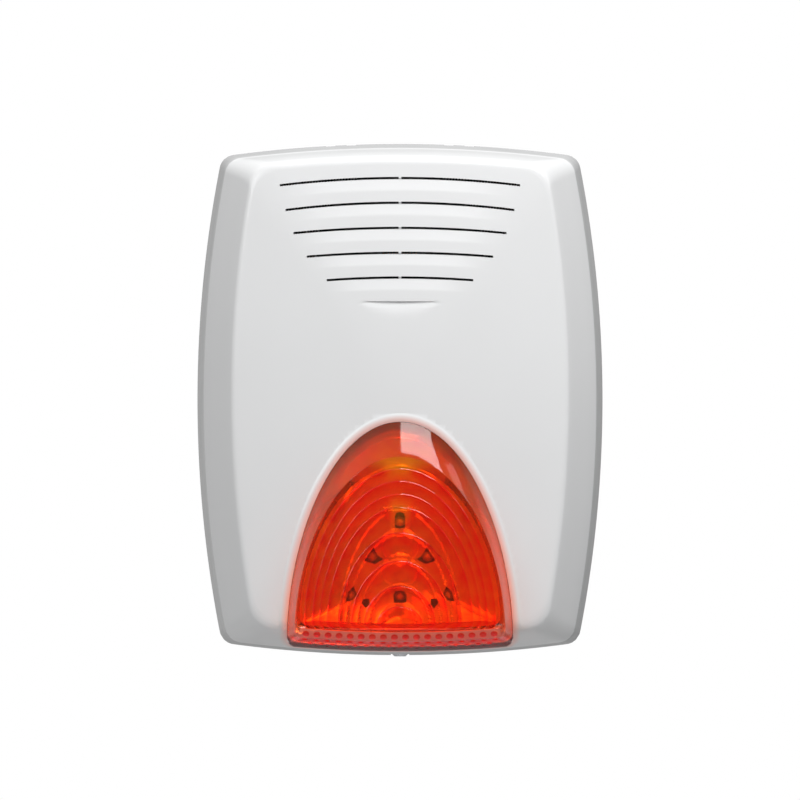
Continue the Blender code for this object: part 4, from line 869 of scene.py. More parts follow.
def mark_lens_surround(cover):
    """Write how near each point is to the lens, for the painted pink glow of the lens's red light on the white
    round it.
    """
    outline = arch(*LENS_EDGE, arch_steps=160)
    tree = KDTree(len(outline))
    for index, place in enumerate(outline):
        tree.insert(point(place.x, cover_depth(place.x, place.y), place.y), index)
    tree.balance()
    nearness = cover.data.attributes.new("lens_nearness", "FLOAT", "POINT")
    for vertex, value in zip(cover.data.vertices, nearness.data):
        distance = tree.find(vertex.co)[2]
        value.value = 1 - smooth_share(distance, 0.0002, SURROUND_REACH)


# ---------------------------------------------------------------- lens
def steps_depth(share):
    """Depth of the lens's stepped front from its outermost step (0) to its middle (1)."""
    return mix(STEPS_DEPTH, LENS_FRONT - 0.0001, share ** STEPS_CURVE)


def lens_wall_rings():
    """Rings of the lens's outer wall, from its rear edge up to the ridge."""
    edge = arch(*LENS_EDGE)
    ridge = arch(*RIDGE)
    seat = [max(cover_depth(p.x, p.y) - LENS_SINK, LENS_SEAT) for p in edge]
    face = [max(cover_depth(p.x, p.y) + 0.0003, LENS_SEAT + 0.0012) for p in edge]
    crest = [mix(*RIDGE_DEPTH, smooth_share(p.y, RIDGE[2] + 0.002, RIDGE[2] + 0.012)) for p in ridge]
    rings = [[point(p.x, depth, p.y) for p, depth in zip(edge, level)] for level in (seat, face)]
    for share in even_shares(WALL_STEPS)[1:]:
        bulge = WALL_BULGE * math.sin(math.pi * share)
        rings.append([point(mix(a.x, b.x, share), mix(low, high, share) + bulge, mix(a.y, b.y, share))
                      for a, b, low, high in zip(edge, ridge, face, crest)])
    return rings


def lens_front_rings():
    """Rings of the lens's front: the edge of the pale strip, the nested steps and the flat in the middle."""
    half_width, apex, _, corner = RIDGE
    strip = arch(half_width - STRIP_INSET[0], apex - STRIP_INSET[1], STEP_FOOT - 0.0001, corner)
    depths = [mix(*STRIP_DEPTH, smooth_share(p.y, STEP_FOOT, STEP_FOOT + 0.010)) for p in strip]
    rings = [[point(p.x, depth, p.y) for p, depth in zip(strip, depths)]]
    for index, (half_width, apex) in enumerate(LENS_STEPS):
        foot = STEP_FOOT + STEP_FOOT_RISE * (index + 1)
        low = steps_depth(index / len(LENS_STEPS)) + STEP_LIP
        high = steps_depth((index + 1) / len(LENS_STEPS))
        corner = min(0.0030, half_width * 0.3)
        for inset, risen in STEP_PROFILE:
            outline = arch(half_width - inset, apex - inset, foot, corner)
            rings.append([point(p.x, mix(low, high, risen), p.y) for p in outline])
    half_width, apex = LENS_STEPS[-1]
    middle = arch(half_width * 0.35, apex - 0.0060, STEP_FOOT + 0.0030, 0.0010)
    rings.append([point(p.x, LENS_FRONT - 0.0001, p.y) for p in middle])
    return rings


def lens_inner_rings(rim):
    """Rings of the smooth inner surface, from its middle to the rim."""
    rings = [[point(p.x, depth, p.y) for p in arch(*outline)] for outline, depth in INNER_ARCHES]
    start = rings[-1]
    inner = arch(*grow(LENS_EDGE, -LENS_WALL))
    for share in (0.3, 0.65, 1.0):
        rings.append([place.lerp(point(p.x, -stop.y, p.y), share) for place, p, stop in zip(start, inner, rim)])
    return rings


def add_ears(lens):
    """Four ears with round ends and screw holes, behind the cover."""
    bars, tips, holes = [], [], []
    for x, z in EAR_SCREWS:
        side = math.copysign(1.0, x)
        root = lens_half_width(z) - EAR_ROOT
        depth = cover_depth(x, z) - EAR_DROP
        bars.append(((abs(x) - root, EAR_THICKNESS, EAR_WIDTH),
                     (side * (root + abs(x)) / 2, depth - EAR_THICKNESS / 2, z)))
        middle = x - side * EAR_TIP_SHIFT
        tips.append(upright_rod(middle, z, EAR_TIP, depth - EAR_THICKNESS + 0.0001, depth - 0.0001, 40))
        holes.append(upright_rod(middle, z, EAR_HOLE, depth - 0.0050, depth + 0.0020, 20))
    change_piece(lens, "ears", "UNION", bars)
    change_piece(lens, "ear_tips", "UNION", tips)
    change_piece(lens, "ear_holes", "DIFFERENCE", holes)


def make_lens(red):
    """The red lens with its stepped front and four ears behind the cover."""
    wall, front = lens_wall_rings(), lens_front_rings()
    inner = lens_inner_rings(wall[0])
    lens = loft("lens_moulding", inner + wall + front)
    add_ears(lens)
    coat(lens, red, 22)
    mark_thickness_and_glow(lens, inner, wall, front)
    place_piece(lens, "cover", "lens_plastic", "flasher_lens")


def painted_glow(place):
    """How strongly the lens is painted amber at a place, from 0 to 1: a painted glow."""
    nearest = min(math.hypot(place.x / across, (place.z - middle) / upright)
                  for middle, across, upright in PAINTED_GLOW_BANDS)
    return 1 - smooth_share(nearest, PAINTED_GLOW_CORE, 1.0)


def wall_mark(place):
    """Thickness and frost on the strip, on the ledge under it, or on the lens's wall; the pale frost is partly
    a painted reflection.
    """
    level = place.z - place.x ** 2 / (2 * END_ARC)
    if level < STEP_FOOT + 0.0002 and -place.y > STRIP_FRONT:
        return STRIP_MARK
    if level < RIDGE[2]:
        return LEDGE_MARK
    return WALL_THICKNESS, mix(*WALL_FROST_AND_REFLECTION, 1 - smooth_share(place.z, FROST_AND_REFLECTION_HEIGHT, LENS_EDGE[1]))


def lens_marks(inner, wall, front):
    """Every place of the lens's rings with its thickness and frost: a step is thin at its foot, and its bright
    foot and deep red crest are painted light and shade.
    """
    for ring in wall:
        for place in ring:
            yield place, wall_mark(place)
    strip, *steps, middle = front
    for place in strip:
        on_face = place.z - place.x ** 2 / (2 * END_ARC) > STEP_FOOT + 0.0002
        # The painted glow thins the thickness mark, so the lens is painted amber there
        mark = (FACE_THICKNESS * (1 - painted_glow(place)), 0.0) if on_face else wall_mark(place)
        yield place, mark
    for index, ring in enumerate(steps):
        # Painted light and shade in bands across each step, partly its thickness
        thickness = STEP_THICKNESS_AND_SHADING[index % len(STEP_PROFILE)]
        for place in ring:
            yield place, (thickness * (1 - painted_glow(place)), 0.0)
    for ring in [middle, *inner]:
        for place in ring:
            yield place, (FACE_THICKNESS * (1 - painted_glow(place)), 0.0)


def mark_thickness_and_glow(lens, inner, wall, front):
    """Write how thick and how frosted the plastic is; these marks carry the painted glow, the steps' painted
    light and shade and a painted reflection.
    """
    marks = list(lens_marks(inner, wall, front))
    tree = KDTree(len(marks))
    for index, (place, _) in enumerate(marks):
        tree.insert(place, index)
    tree.balance()
    thickness = lens.data.attributes.new("thickness", "FLOAT", "POINT")
    frost_and_reflection = lens.data.attributes.new("frost_and_reflection", "FLOAT", "POINT")
    for vertex, thick, milky in zip(lens.data.vertices, thickness.data, frost_and_reflection.data):
        thick.value, milky.value = marks[tree.find(vertex.co)[1]][1]


# ---------------------------------------------------------------- reflector
def inside_arch(x, z, half_width, apex, foot):
    """How far a place is inside an arch: 0 on its edge and 1 on its foot at the middle."""
    if z < foot or abs(x) >= half_width:
        return -1.0
    rise = apex - foot
    edge = foot + rise * math.sqrt(max(1 - (x / half_width) ** 2, 0.0)) ** ARCH_POWER
    return (edge - z) / rise


def dish_depth(x, z, rim_share):
    """Depth of the bright dish with its stacked hoods; rim_share is 1 on the rim and 0 in the middle."""
    depth = mix(REFLECTOR_FLOOR_DEPTH, REFLECTOR_RIM_DEPTH, rim_share ** DISH_POWER)
    inside = inside_arch(x, z, *DISH_LIP)
    if inside > 0:
        lip = smooth_share(inside, *LIP_UP) - smooth_share(inside, *LIP_DOWN)
        depth += LIP_RISE * lip * (1 - smooth_share(abs(x), *LIP_SIDES))
    for half_width, apex in HOODS:
        inside = inside_arch(x, z, half_width, apex, HOOD_FOOT)
        if inside >= 0:
            depth += HOOD_RISE * smooth_share(inside, 0.0, HOOD_BROW)
            depth -= HOOD_FALL * min(inside / HOOD_SLOPE, 1.0)
    for middle, radius, rise in CUPS:
        away = math.hypot(x, z - middle) / radius
        if away < 1:
            depth += rise * (CUP_DOME * math.sqrt(1 - away * away) - CUP_DIMPLE * math.exp(-(away * 2.0) ** 2))
    foot, height, narrow, spread, floor, rise = FUNNEL
    funnel = (z - foot) / height
    half_width = narrow + spread * funnel
    if 0.0 < funnel < 1.0 and abs(x) < half_width:
        depth = mix(depth, REFLECTOR_FLOOR_DEPTH + floor + rise * funnel, 1 - (abs(x) / half_width) ** 6)
    return depth


def reflector_rings():
    """The flange behind the lens's wall and then the dish, as rings that shrink to its middle."""
    half_width, apex, foot, corner = REFLECTOR_RIM
    rings = []
    for grown, depth in FLANGE:
        outline = arch(half_width + grown, apex + grown * FLANGE_APEX, foot - grown * FLANGE_FOOT, corner,
                       **REFLECTOR_ARCH)
        rings.append([point(p.x, depth, p.y) for p in outline])
    rim = arch(*REFLECTOR_RIM, **REFLECTOR_ARCH)
    for step in range(REFLECTOR_RINGS):
        share = 1 - step / REFLECTOR_RINGS
        places = [(p.x * share, mix(REFLECTOR_CENTRE, p.y, share)) for p in rim]
        rings.append([point(x, dish_depth(x, z, share), z) for x, z in places])
    return rings


def window_cutter():
    """Prisms through the windows at the lamps."""
    windows = bmesh.new()
    for outline in WINDOWS:
        on_middle = outline[0][0] == 0
        for side in ((1,) if on_middle else (-1, 1)):
            places = [(side * x, z) for x, z in outline]
            if on_middle:
                places += [(-x, z) for x, z in reversed(outline) if x]
            add_prism(windows, [[point(x, depth, z) for x, z in places] for depth in WINDOW_CUT])
    tidy_faces(windows)
    return mesh_object("windows", windows)


def make_reflector(bright):
    """The plated dish under the lens, with stacked hoods and a window at each lamp."""
    shape = bmesh.new()
    rows = [[shape.verts.new(place) for place in ring] for ring in reflector_rings()]
    skin(shape, rows)
    last = rows[-1]
    middle = shape.verts.new(point(0.0, dish_depth(0.0, REFLECTOR_CENTRE, 0.0), REFLECTOR_CENTRE))
    for index in range(len(last)):
        shape.faces.new((last[index], last[(index + 1) % len(last)], middle))
    reflector = mesh_object("reflector_dish", shape)
    thicken(reflector, REFLECTOR_WALL)
    join_or_cut(reflector, window_cutter(), "DIFFERENCE")
    for name, operation, (radius, near, far), steps in (("pegs", "UNION", PEG, 24),
                                                        ("peg_sockets", "DIFFERENCE", PEG_SOCKET, 16)):
        change_piece(reflector, name, operation,
                     [upright_rod(x, z, radius, near, far, steps) for x, z in REFLECTOR_PEGS])
    coat(reflector, bright, 30)
    place_piece(reflector, "wall_box", "reflector_plating", "reflector")


# ---------------------------------------------------------------- finishes
class Finish:
    """A material made of nodes, read in the object's own metres."""

    def __init__(self, name, color, roughness, metallic=0.0, **constants):
        self.material = bpy.data.materials.new(name)
        self.material.use_nodes = True
        self.tree = self.material.node_tree
        self.shader = self.tree.nodes["Principled BSDF"]
        self.shader.inputs["Base Color"].default_value = (*color, 1.0)
        self.shader.inputs["Roughness"].default_value = roughness
        self.shader.inputs["Metallic"].default_value = metallic
        for label, value in constants.items():
            self.shader.inputs[label.replace("_", " ").title().replace("Ior", "IOR")].default_value = value
        self.place = self.tree.nodes.new("ShaderNodeTexCoord").outputs["Object"]
        self.color = color

    def add(self, kind, inputs=None, **settings):
        """A node with its inputs set or linked."""
        node = self.tree.nodes.new(kind)
        for key, value in settings.items():
            setattr(node, key, value)
        for label, value in (inputs or {}).items():
            if isinstance(value, bpy.types.NodeSocket):
                self.tree.links.new(value, node.inputs[label])
            else:
                node.inputs[label].default_value = value
        return node

    def noise(self, scale, detail=3.0, stretch=(1.0, 1.0, 1.0)):
        """Noise with a feature about 1 / scale metres wide."""
        spread = self.add("ShaderNodeMapping", {"Vector": self.place, "Scale": stretch})
        cloud = self.add("ShaderNodeTexNoise", {"Vector": spread.outputs[0], "Scale": scale, "Detail": detail})
        return cloud.outputs["Fac"]

    def ramp(self, value, low, high, start=0.3, stop=0.7):
        """A value spread between two numbers."""
        node = self.add("ShaderNodeMapRange", {"Value": value, "From Min": start, "From Max": stop,
                                               "To Min": low, "To Max": high})
        return node.outputs[0]

    def mark(self, name):
        """A value that the mesh holds at each point."""
        return self.add("ShaderNodeAttribute", attribute_name=name).outputs["Fac"]

    def tint(self, share, first, second):
        """A colour between two colours, of which the first may come from a node."""
        node = self.tree.nodes.new("ShaderNodeMix")
        node.data_type = "RGBA"
        self.tree.links.new(share, node.inputs[0])
        if isinstance(first, bpy.types.NodeSocket):
            self.tree.links.new(first, node.inputs[6])
        else:
            node.inputs[6].default_value = (*first, 1.0)
        node.inputs[7].default_value = (*second, 1.0)
        return node.outputs[2]

    def link(self, value, label):
        """Link a value to an input of the shader."""
        self.tree.links.new(value, self.shader.inputs[label])

    def relief(self, height, distance, strength=1.0):
        """A bump from a height value, on top of an earlier one."""
        bump = self.add("ShaderNodeBump", {"Height": height, "Distance": distance, "Strength": strength})
        if self.shader.inputs["Normal"].is_linked:
            self.tree.links.new(self.shader.inputs["Normal"].links[0].from_socket, bump.inputs["Normal"])
        self.link(bump.outputs[0], "Normal")

    def vary(self, amount, scale, roughness_spread=0.05):
        """Slight changes of shade and gloss over the surface."""
        cloud = self.noise(scale)
        darker = tuple(c * (1 - amount) for c in self.color)
        lighter = tuple(min(c * (1 + amount), 1.0) for c in self.color)
        self.link(self.tint(self.ramp(cloud, 0.0, 1.0), darker, lighter), "Base Color")
        base = self.shader.inputs["Roughness"].default_value
        self.link(self.ramp(self.noise(scale * 3.1, 4.0), base - roughness_spread, base + roughness_spread),
                  "Roughness")


def gloss_white():
    """Moulded white plastic with a faint orange-peel gloss, and a painted pink glow of the lens's red light
    round the lens.
    """
    finish = Finish("gloss_white_plastic", WHITE, 0.24, Coat_Weight=0.25, Coat_Roughness=0.10)
    finish.vary(0.010, 14.0, 0.03)
    shade = finish.shader.inputs["Base Color"].links[0].from_socket
    # Painted glow: the white turns pink near the lens, for the lens's red light
    nearness = finish.ramp(finish.mark("lens_nearness"), 0.0, 1.0, 0.15, 1.0)
    finish.link(finish.tint(nearness, shade, PINK), "Base Color")
    finish.relief(finish.noise(650.0, 1.0), 0.00002, 0.5)
    finish.relief(finish.noise(5200.0, 2.0), 0.000004, 0.5)
    return finish.material


def red_lens():
    """Transparent red plastic, more orange where it is thin and deeper red where it is thick; the orange of the
    glow and of the steps' bands is painted light, and the pale frost is partly a painted reflection.
    """
    finish = Finish("red_lens_plastic", LENS_COLOR, 0.045, Transmission_Weight=0.94, IOR=1.45)
    cloud = finish.ramp(finish.noise(170.0, 4.0), -0.08, 0.08)
    # The thickness mark carries the painted glow and the steps' painted light and shade
    share = finish.add("ShaderNodeMath", {0: finish.mark("thickness"), 1: cloud},
                       operation="ADD", use_clamp=True).outputs[0]
    # The frost mark makes the plastic milky and paints it pale, partly a painted reflection
    frost_and_reflection = finish.mark("frost_and_reflection")
    red = finish.tint(share, LENS_THIN_AND_GLOW, LENS_THICK)
    finish.link(finish.tint(finish.ramp(frost_and_reflection, 0.0, 1.0, 0.0, 1.0), red, LENS_FROST_AND_REFLECTION), "Base Color")
    finish.link(finish.ramp(frost_and_reflection, 0.94, 0.30, 0.0, 1.0), "Transmission Weight")
    finish.relief(finish.noise(420.0, 2.0), 0.00003, 0.5)
    finish.link(finish.ramp(finish.noise(60.0, 3.0), 0.03, 0.09), "Roughness")
    clear = finish.add("ShaderNodeBsdfTransparent", {"Color": (*LENS_LIGHT, 1.0)})
    ray = finish.add("ShaderNodeLightPath")
    blend = finish.add("ShaderNodeMixShader", {0: ray.outputs["Is Shadow Ray"], 1: finish.shader.outputs[0],
                                               2: clear.outputs[0]})
    finish.tree.links.new(blend.outputs[0], finish.tree.nodes["Material Output"].inputs["Surface"])
    return finish.material


def bright_plating():
    """Vacuum plated plastic, with the ripple of the moulding under it."""
    finish = Finish("bright_plating", (0.97, 0.96, 0.93), 0.18, 0.66)
    finish.vary(0.04, 90.0, 0.05)
    finish.relief(finish.noise(260.0, 3.0), 0.0003, 0.5)
    finish.relief(finish.noise(2400.0, 2.0), 0.00003, 0.6)
    return finish.material


def plain_finish(name):
    """One of the plain finishes, with its changes of shade and its moulded or cast grain."""
    color, roughness, metallic, change, change_scale, grain, grain_scale = PLAIN_FINISHES[name]
    finish = Finish(name, color, roughness, metallic)
    finish.vary(change, change_scale, 0.05)
    finish.relief(finish.noise(grain_scale, 3.0), grain, 0.7)
    return finish.material


def brushed_steel():
    """Zinc-plated steel with drawn marks and darker spots."""
    finish = Finish("zinc_plated_steel", (0.60, 0.61, 0.63), 0.30, 1.0)
    finish.vary(0.14, 160.0, 0.08)
    finish.relief(finish.noise(900.0, 3.0, (1.0, 1.0, 0.08)), 0.00002, 0.6)
    finish.relief(finish.noise(4200.0, 2.0), 0.000006, 0.6)
    return finish.material


def green_laminate():
    """Circuit board with lacquered copper tracks and glass weave."""
    finish = Finish("green_laminate", BOARD_GREEN, 0.32, Coat_Weight=0.3, Coat_Roughness=0.2)
    cells = finish.add("ShaderNodeTexVoronoi", {"Vector": finish.place, "Scale": 210.0},
                       feature="F1", distance="MANHATTAN")
    lines = finish.ramp(cells.outputs["Distance"], 0.0, 1.0, 0.47, 0.53)
    finish.link(finish.tint(lines, BARE_GREEN, TRACK_GREEN), "Base Color")
    finish.relief(lines, 0.00004, 0.7)
    weave = finish.add("ShaderNodeTexWave", {"Vector": finish.place, "Scale": 380.0, "Distortion": 0.6})
    finish.relief(weave.outputs["Fac"], 0.000008, 0.5)
    finish.link(finish.ramp(finish.noise(90.0), 0.26, 0.40), "Roughness")
    return finish.material


def clear_resin():
    """Water-clear lamp resin with a warm cast."""
    finish = Finish("lamp_resin", (1.0, 0.86, 0.62), 0.06, Transmission_Weight=0.55, IOR=1.52)
    finish.relief(finish.noise(500.0, 2.0), 0.00002, 0.5)
    finish.link(finish.ramp(finish.noise(120.0), 0.04, 0.12), "Roughness")
    return finish.material


# ---------------------------------------------------------------- recipes for what repeats or follows a rule
class Recipe:
    """A Geometry Nodes tree being written down."""

    def __init__(self, name, sizes):
        self.tree = bpy.data.node_groups.new(name, "GeometryNodeTree")
        self.tree.is_modifier = True
        self.tree.interface.new_socket(name="Geometry", in_out="INPUT", socket_type="NodeSocketGeometry")
        for label, (kind, value) in sizes.items():
            socket = self.tree.interface.new_socket(name=label, in_out="INPUT", socket_type="NodeSocket" + kind)
            socket.default_value = value
        self.tree.interface.new_socket(name="Finish", in_out="INPUT", socket_type="NodeSocketMaterial")
        self.tree.interface.new_socket(name="Geometry", in_out="OUTPUT", socket_type="NodeSocketGeometry")
        self.given = self.tree.nodes.new("NodeGroupInput").outputs

    def add(self, kind, inputs=None, **settings):
        """A node with its inputs set or linked; gives its first output."""
        prefix = "" if kind.startswith(("Function", "Shader")) else "GeometryNode"
        node = self.tree.nodes.new(prefix + kind)
        for key, value in settings.items():
            setattr(node, key, value)
        for label, value in (inputs or {}).items():
            if isinstance(value, list):
                for part in value:
                    self.tree.links.new(part, node.inputs[label])
            elif isinstance(value, bpy.types.NodeSocket):
                self.tree.links.new(value, node.inputs[label])
            else:
                node.inputs[label].default_value = value
        return node.outputs[0]

    def math(self, operation, first, second=0.0):
        """A number worked out from one or two numbers."""
        return self.add("ShaderNodeMath", {0: first, 1: second}, operation=operation)

    def value(self, name, kind="FLOAT"):
        """An attribute of each place."""
        return self.add("InputNamedAttribute", {"Name": name}, data_type=kind)

    def moved(self, geometry, place=(0.0, 0.0, 0.0), turn=(0.0, 0.0, 0.0), scale=(1.0, 1.0, 1.0)):
        """Geometry moved, turned and scaled."""
        return self.add("Transform", {"Geometry": geometry, "Translation": place, "Rotation": turn,
                                      "Scale": scale})

    def spot(self, x, y, z):
        """A vector put together from numbers."""
        return self.add("ShaderNodeCombineXYZ", {0: x, 1: y, 2: z})

    def line(self, start, stop, count):
        """Points spaced evenly from one place to another."""
        return self.add("MeshLine", {"Count": count, "Start Location": start, "Offset": stop},
                        mode="END_POINTS")

    def repeated(self, points, shape, **more):
        """A shape at every point."""
        return self.add("InstanceOnPoints", {"Points": points, "Instance": shape, **more})

    def joined(self, *parts):
        """Several geometries as one."""
        return self.add("JoinGeometry", {"Geometry": list(parts)})

    def close(self, geometry):
        """End the tree with real geometry in its finish."""
        real = self.add("RealizeInstances", {"Geometry": geometry})
        done = self.add("SetMaterial", {"Geometry": real, "Material": self.given["Finish"]})
        self.tree.links.new(done, self.tree.nodes.new("NodeGroupOutput").inputs[0])


def places_mesh(name, places, **attributes):
    """An object of loose points with attributes, for a recipe to work on."""
    mesh = bpy.data.meshes.new(name)
    mesh.from_pydata([tuple(place) for place in places], [], [])
    for label, values in attributes.items():
        kind = "FLOAT_VECTOR" if isinstance(values[0], tuple) else "FLOAT"
        layer = mesh.attributes.new(label, kind, "POINT")
        for item, value in zip(layer.data, values):
            if kind == "FLOAT":
                item.value = value
            else:
                item.vector = value
    obj = bpy.data.objects.new(name, mesh)
    bpy.context.scene.collection.objects.link(obj)
    return obj


def follow(recipe, obj, finish, smooth_angle=35, **sizes):
    """Run a recipe on an object and keep the plain result."""
    change = obj.modifiers.new("recipe", "NODES")
    change.node_group = recipe.tree
    sizes["Finish"] = finish
    for item in recipe.tree.interface.items_tree:
        label = item.name.replace(" ", "_")
        if item.in_out == "INPUT" and label in sizes:
            change[item.identifier] = sizes[label]
    bake_modifiers(obj, smooth_angle)
    return obj


def place_piece(obj, body, slot, *nodes):
    """Attach a piece to the body it moves with and hide the nodes that it stands for; the slot is not used."""
    if nodes:
        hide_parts(*nodes)
    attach(obj, body)
    return obj


def screw_recipe():
    """A pan-head screw with a cross recess and a threaded shank at every place."""
    recipe = Recipe("pan_head_screws", {"Rim Height": ("Float", 0.30), "Head Height": ("Float", 0.60),
                                        "Recess Width": ("Float", 0.24), "Thread Turns": ("Float", 7.0)})
    rim = recipe.given["Rim Height"]
    full = recipe.given["Head Height"]
    low = recipe.add("MeshCylinder", {"Vertices": 32, "Radius": 1.0, "Depth": rim})
    low = recipe.moved(low, recipe.add("ShaderNodeCombineXYZ", {2: recipe.math("MULTIPLY", rim, 0.5)}))
    dome = recipe.add("MeshCone", {"Vertices": 32, "Side Segments": 1, "Radius Top": 0.66,
                                   "Radius Bottom": 0.97, "Depth": recipe.math("SUBTRACT", full, rim)})
    dome = recipe.moved(dome, recipe.add("ShaderNodeCombineXYZ", {2: recipe.math("SUBTRACT", rim, 0.002)}))
    bar_size = recipe.add("ShaderNodeCombineXYZ", {0: 1.10, 1: recipe.given["Recess Width"], 2: 0.60})
    bar = recipe.moved(recipe.add("MeshCube", {"Size": bar_size}), (0.0, 0.0, 0.56))
    cross_bar = recipe.moved(bar, turn=(0.0, 0.0, math.pi / 2))
    head = recipe.add("MeshBoolean", {"Mesh 2": [low, dome]}, operation="UNION")
    head = recipe.add("MeshBoolean", {"Mesh 1": head, "Mesh 2": [bar, cross_bar]}, operation="DIFFERENCE")
    shank = recipe.moved(recipe.add("MeshCylinder", {"Vertices": 20, "Radius": 0.86, "Depth": 1.0}),
                         (0.0, 0.0, -0.499))
    helix = recipe.add("CurveSpiral", {"Resolution": 16, "Rotations": recipe.given["Thread Turns"],
                                       "Start Radius": 0.86, "End Radius": 0.86, "Height": 0.94})
    ridge = recipe.add("CurvePrimitiveCircle", {"Resolution": 3, "Radius": 0.10})
    thread = recipe.add("CurveToMesh", {"Curve": helix, "Profile Curve": ridge, "Fill Caps": True})
    thread = recipe.moved(thread, (0.0, 0.0, -0.96))
    turn = recipe.value("turn", "FLOAT_VECTOR")
    parts = []
    for shape, width, length in ((head, "head", "head"), (recipe.joined(shank, thread), "shank", "length")):
        size = recipe.add("ShaderNodeCombineXYZ", {0: recipe.value(width), 1: recipe.value(width),
                                                   2: recipe.value(length)})
        parts.append(recipe.add("InstanceOnPoints", {"Points": recipe.given["Geometry"], "Instance": shape,
                                                     "Rotation": turn, "Scale": size}))
    recipe.close(recipe.joined(*parts))
    return recipe


def make_screws(steel):
    """Every screw: those of the wall box, the lens and the cover."""
    recipe = screw_recipe()
    rows = {"wall_box": [], "cover": []}
    nodes = {"wall_box": [], "cover": []}

    def group(body, name, places, depth, turn, head, shank, length):
        for index, (x, z) in enumerate(places, 1):
            height = depth(x, z) if callable(depth) else depth
            rows[body].append((point(x, height, z), turn, head, shank, length))
            nodes[body].append(f"{name}_{index}")

    def ear_rear(x, z):
        return cover_depth(x, z) - EAR_DROP - EAR_THICKNESS - GAP

    # body, nodes' name, places, depth, turn, radius of the head and of the shank, length
    group("wall_box", "board_screw", BOARD_SCREWS, BOARD_TOP, OUTWARD, 0.0028, 0.0012, 0.0045)
    group("wall_box", "horn_screw", HORN_SCREWS, 0.0301, OUTWARD, 0.0032, 0.0013, 0.0100)
    group("wall_box", "strap_screw", STRAP_SCREWS, 0.0193, OUTWARD, 0.0030, 0.0012, 0.0090)
    group("wall_box", "led_board_screw", FLASHER_POSTS, LED_SEAT, OUTWARD, 0.0024, 0.0012, 0.0080)
    group("wall_box", "reflector_screw", REFLECTOR_PEGS, 0.0497, INWARD, 0.0024, 0.0009, 0.0050)
    group("cover", "lens_screw", EAR_SCREWS, ear_rear, INWARD, 0.0024, 0.0009, 0.0050)
    rows["cover_screw"] = [(point(0.0, SCREW_DEPTH, SCREW_SEAT - GAP), DOWNWARD, SCREW_HEAD, SCREW_SHANK,
                            SCREW_LENGTH)]
    nodes["cover_screw"] = ["cover_screw"]
    for body, name in (("wall_box", "wall_box_screws"), ("cover", "cover_screws"),
                       ("cover_screw", "cover_lip_screw")):
        places, turns, heads, shanks, lengths = zip(*rows[body])
        base = places_mesh(name, places, turn=turns, head=heads, shank=shanks, length=lengths)
        place_piece(follow(recipe, base, steel), body, "screw_steel", *nodes[body])


def make_slot_screen(nylon):
    """A woven insect screen behind the sound slots, in a bowed frame."""
    recipe = Recipe("woven_screen", {"Half Width": ("Float", 0.0), "Low": ("Float", 0.0),
                                     "High": ("Float", 0.0), "Depth": ("Float", 0.0), "Columns": ("Int", 2),
                                     "Rows": ("Int", 2), "Wire": ("Float", 0.0002)})
    given = recipe.given
    back = recipe.math("MULTIPLY", given["Depth"], -1.0)
    middle = recipe.math("MULTIPLY", recipe.math("ADD", given["Low"], given["High"]), 0.5)
    left = recipe.math("MULTIPLY", given["Half Width"], -1.0)
    upright = recipe.add("MeshCylinder", {"Vertices": 6, "Radius": given["Wire"],
                                          "Depth": recipe.math("SUBTRACT", given["High"], given["Low"])})
    level = recipe.add("MeshCylinder", {"Vertices": 6, "Radius": given["Wire"],
                                        "Depth": recipe.math("MULTIPLY", given["Half Width"], 2.0)})
    level = recipe.moved(level, turn=(0.0, math.pi / 2, 0.0))
    uprights = recipe.line(recipe.spot(left, back, middle), recipe.spot(given["Half Width"], back, middle),
                           given["Columns"])
    levels = recipe.line(recipe.spot(0.0, back, given["Low"]), recipe.spot(0.0, back, given["High"]),
                         given["Rows"])
    recipe.close(recipe.joined(recipe.repeated(uprights, upright), recipe.repeated(levels, level),
                               given["Geometry"]))
    even = even_shares(SCREEN_STEPS)
    rings = [[point(p.x, depth, p.y) for p in Barrel(*sizes).ring(even, even)]
             for *sizes, depth in SCREEN_RINGS]
    screen = loft("sound_slot_screen", rings, closed=True)
    follow(recipe, screen, nylon, 40, **WIRES)
    place_piece(screen, "cover", "screen_plastic", "slot_screen")


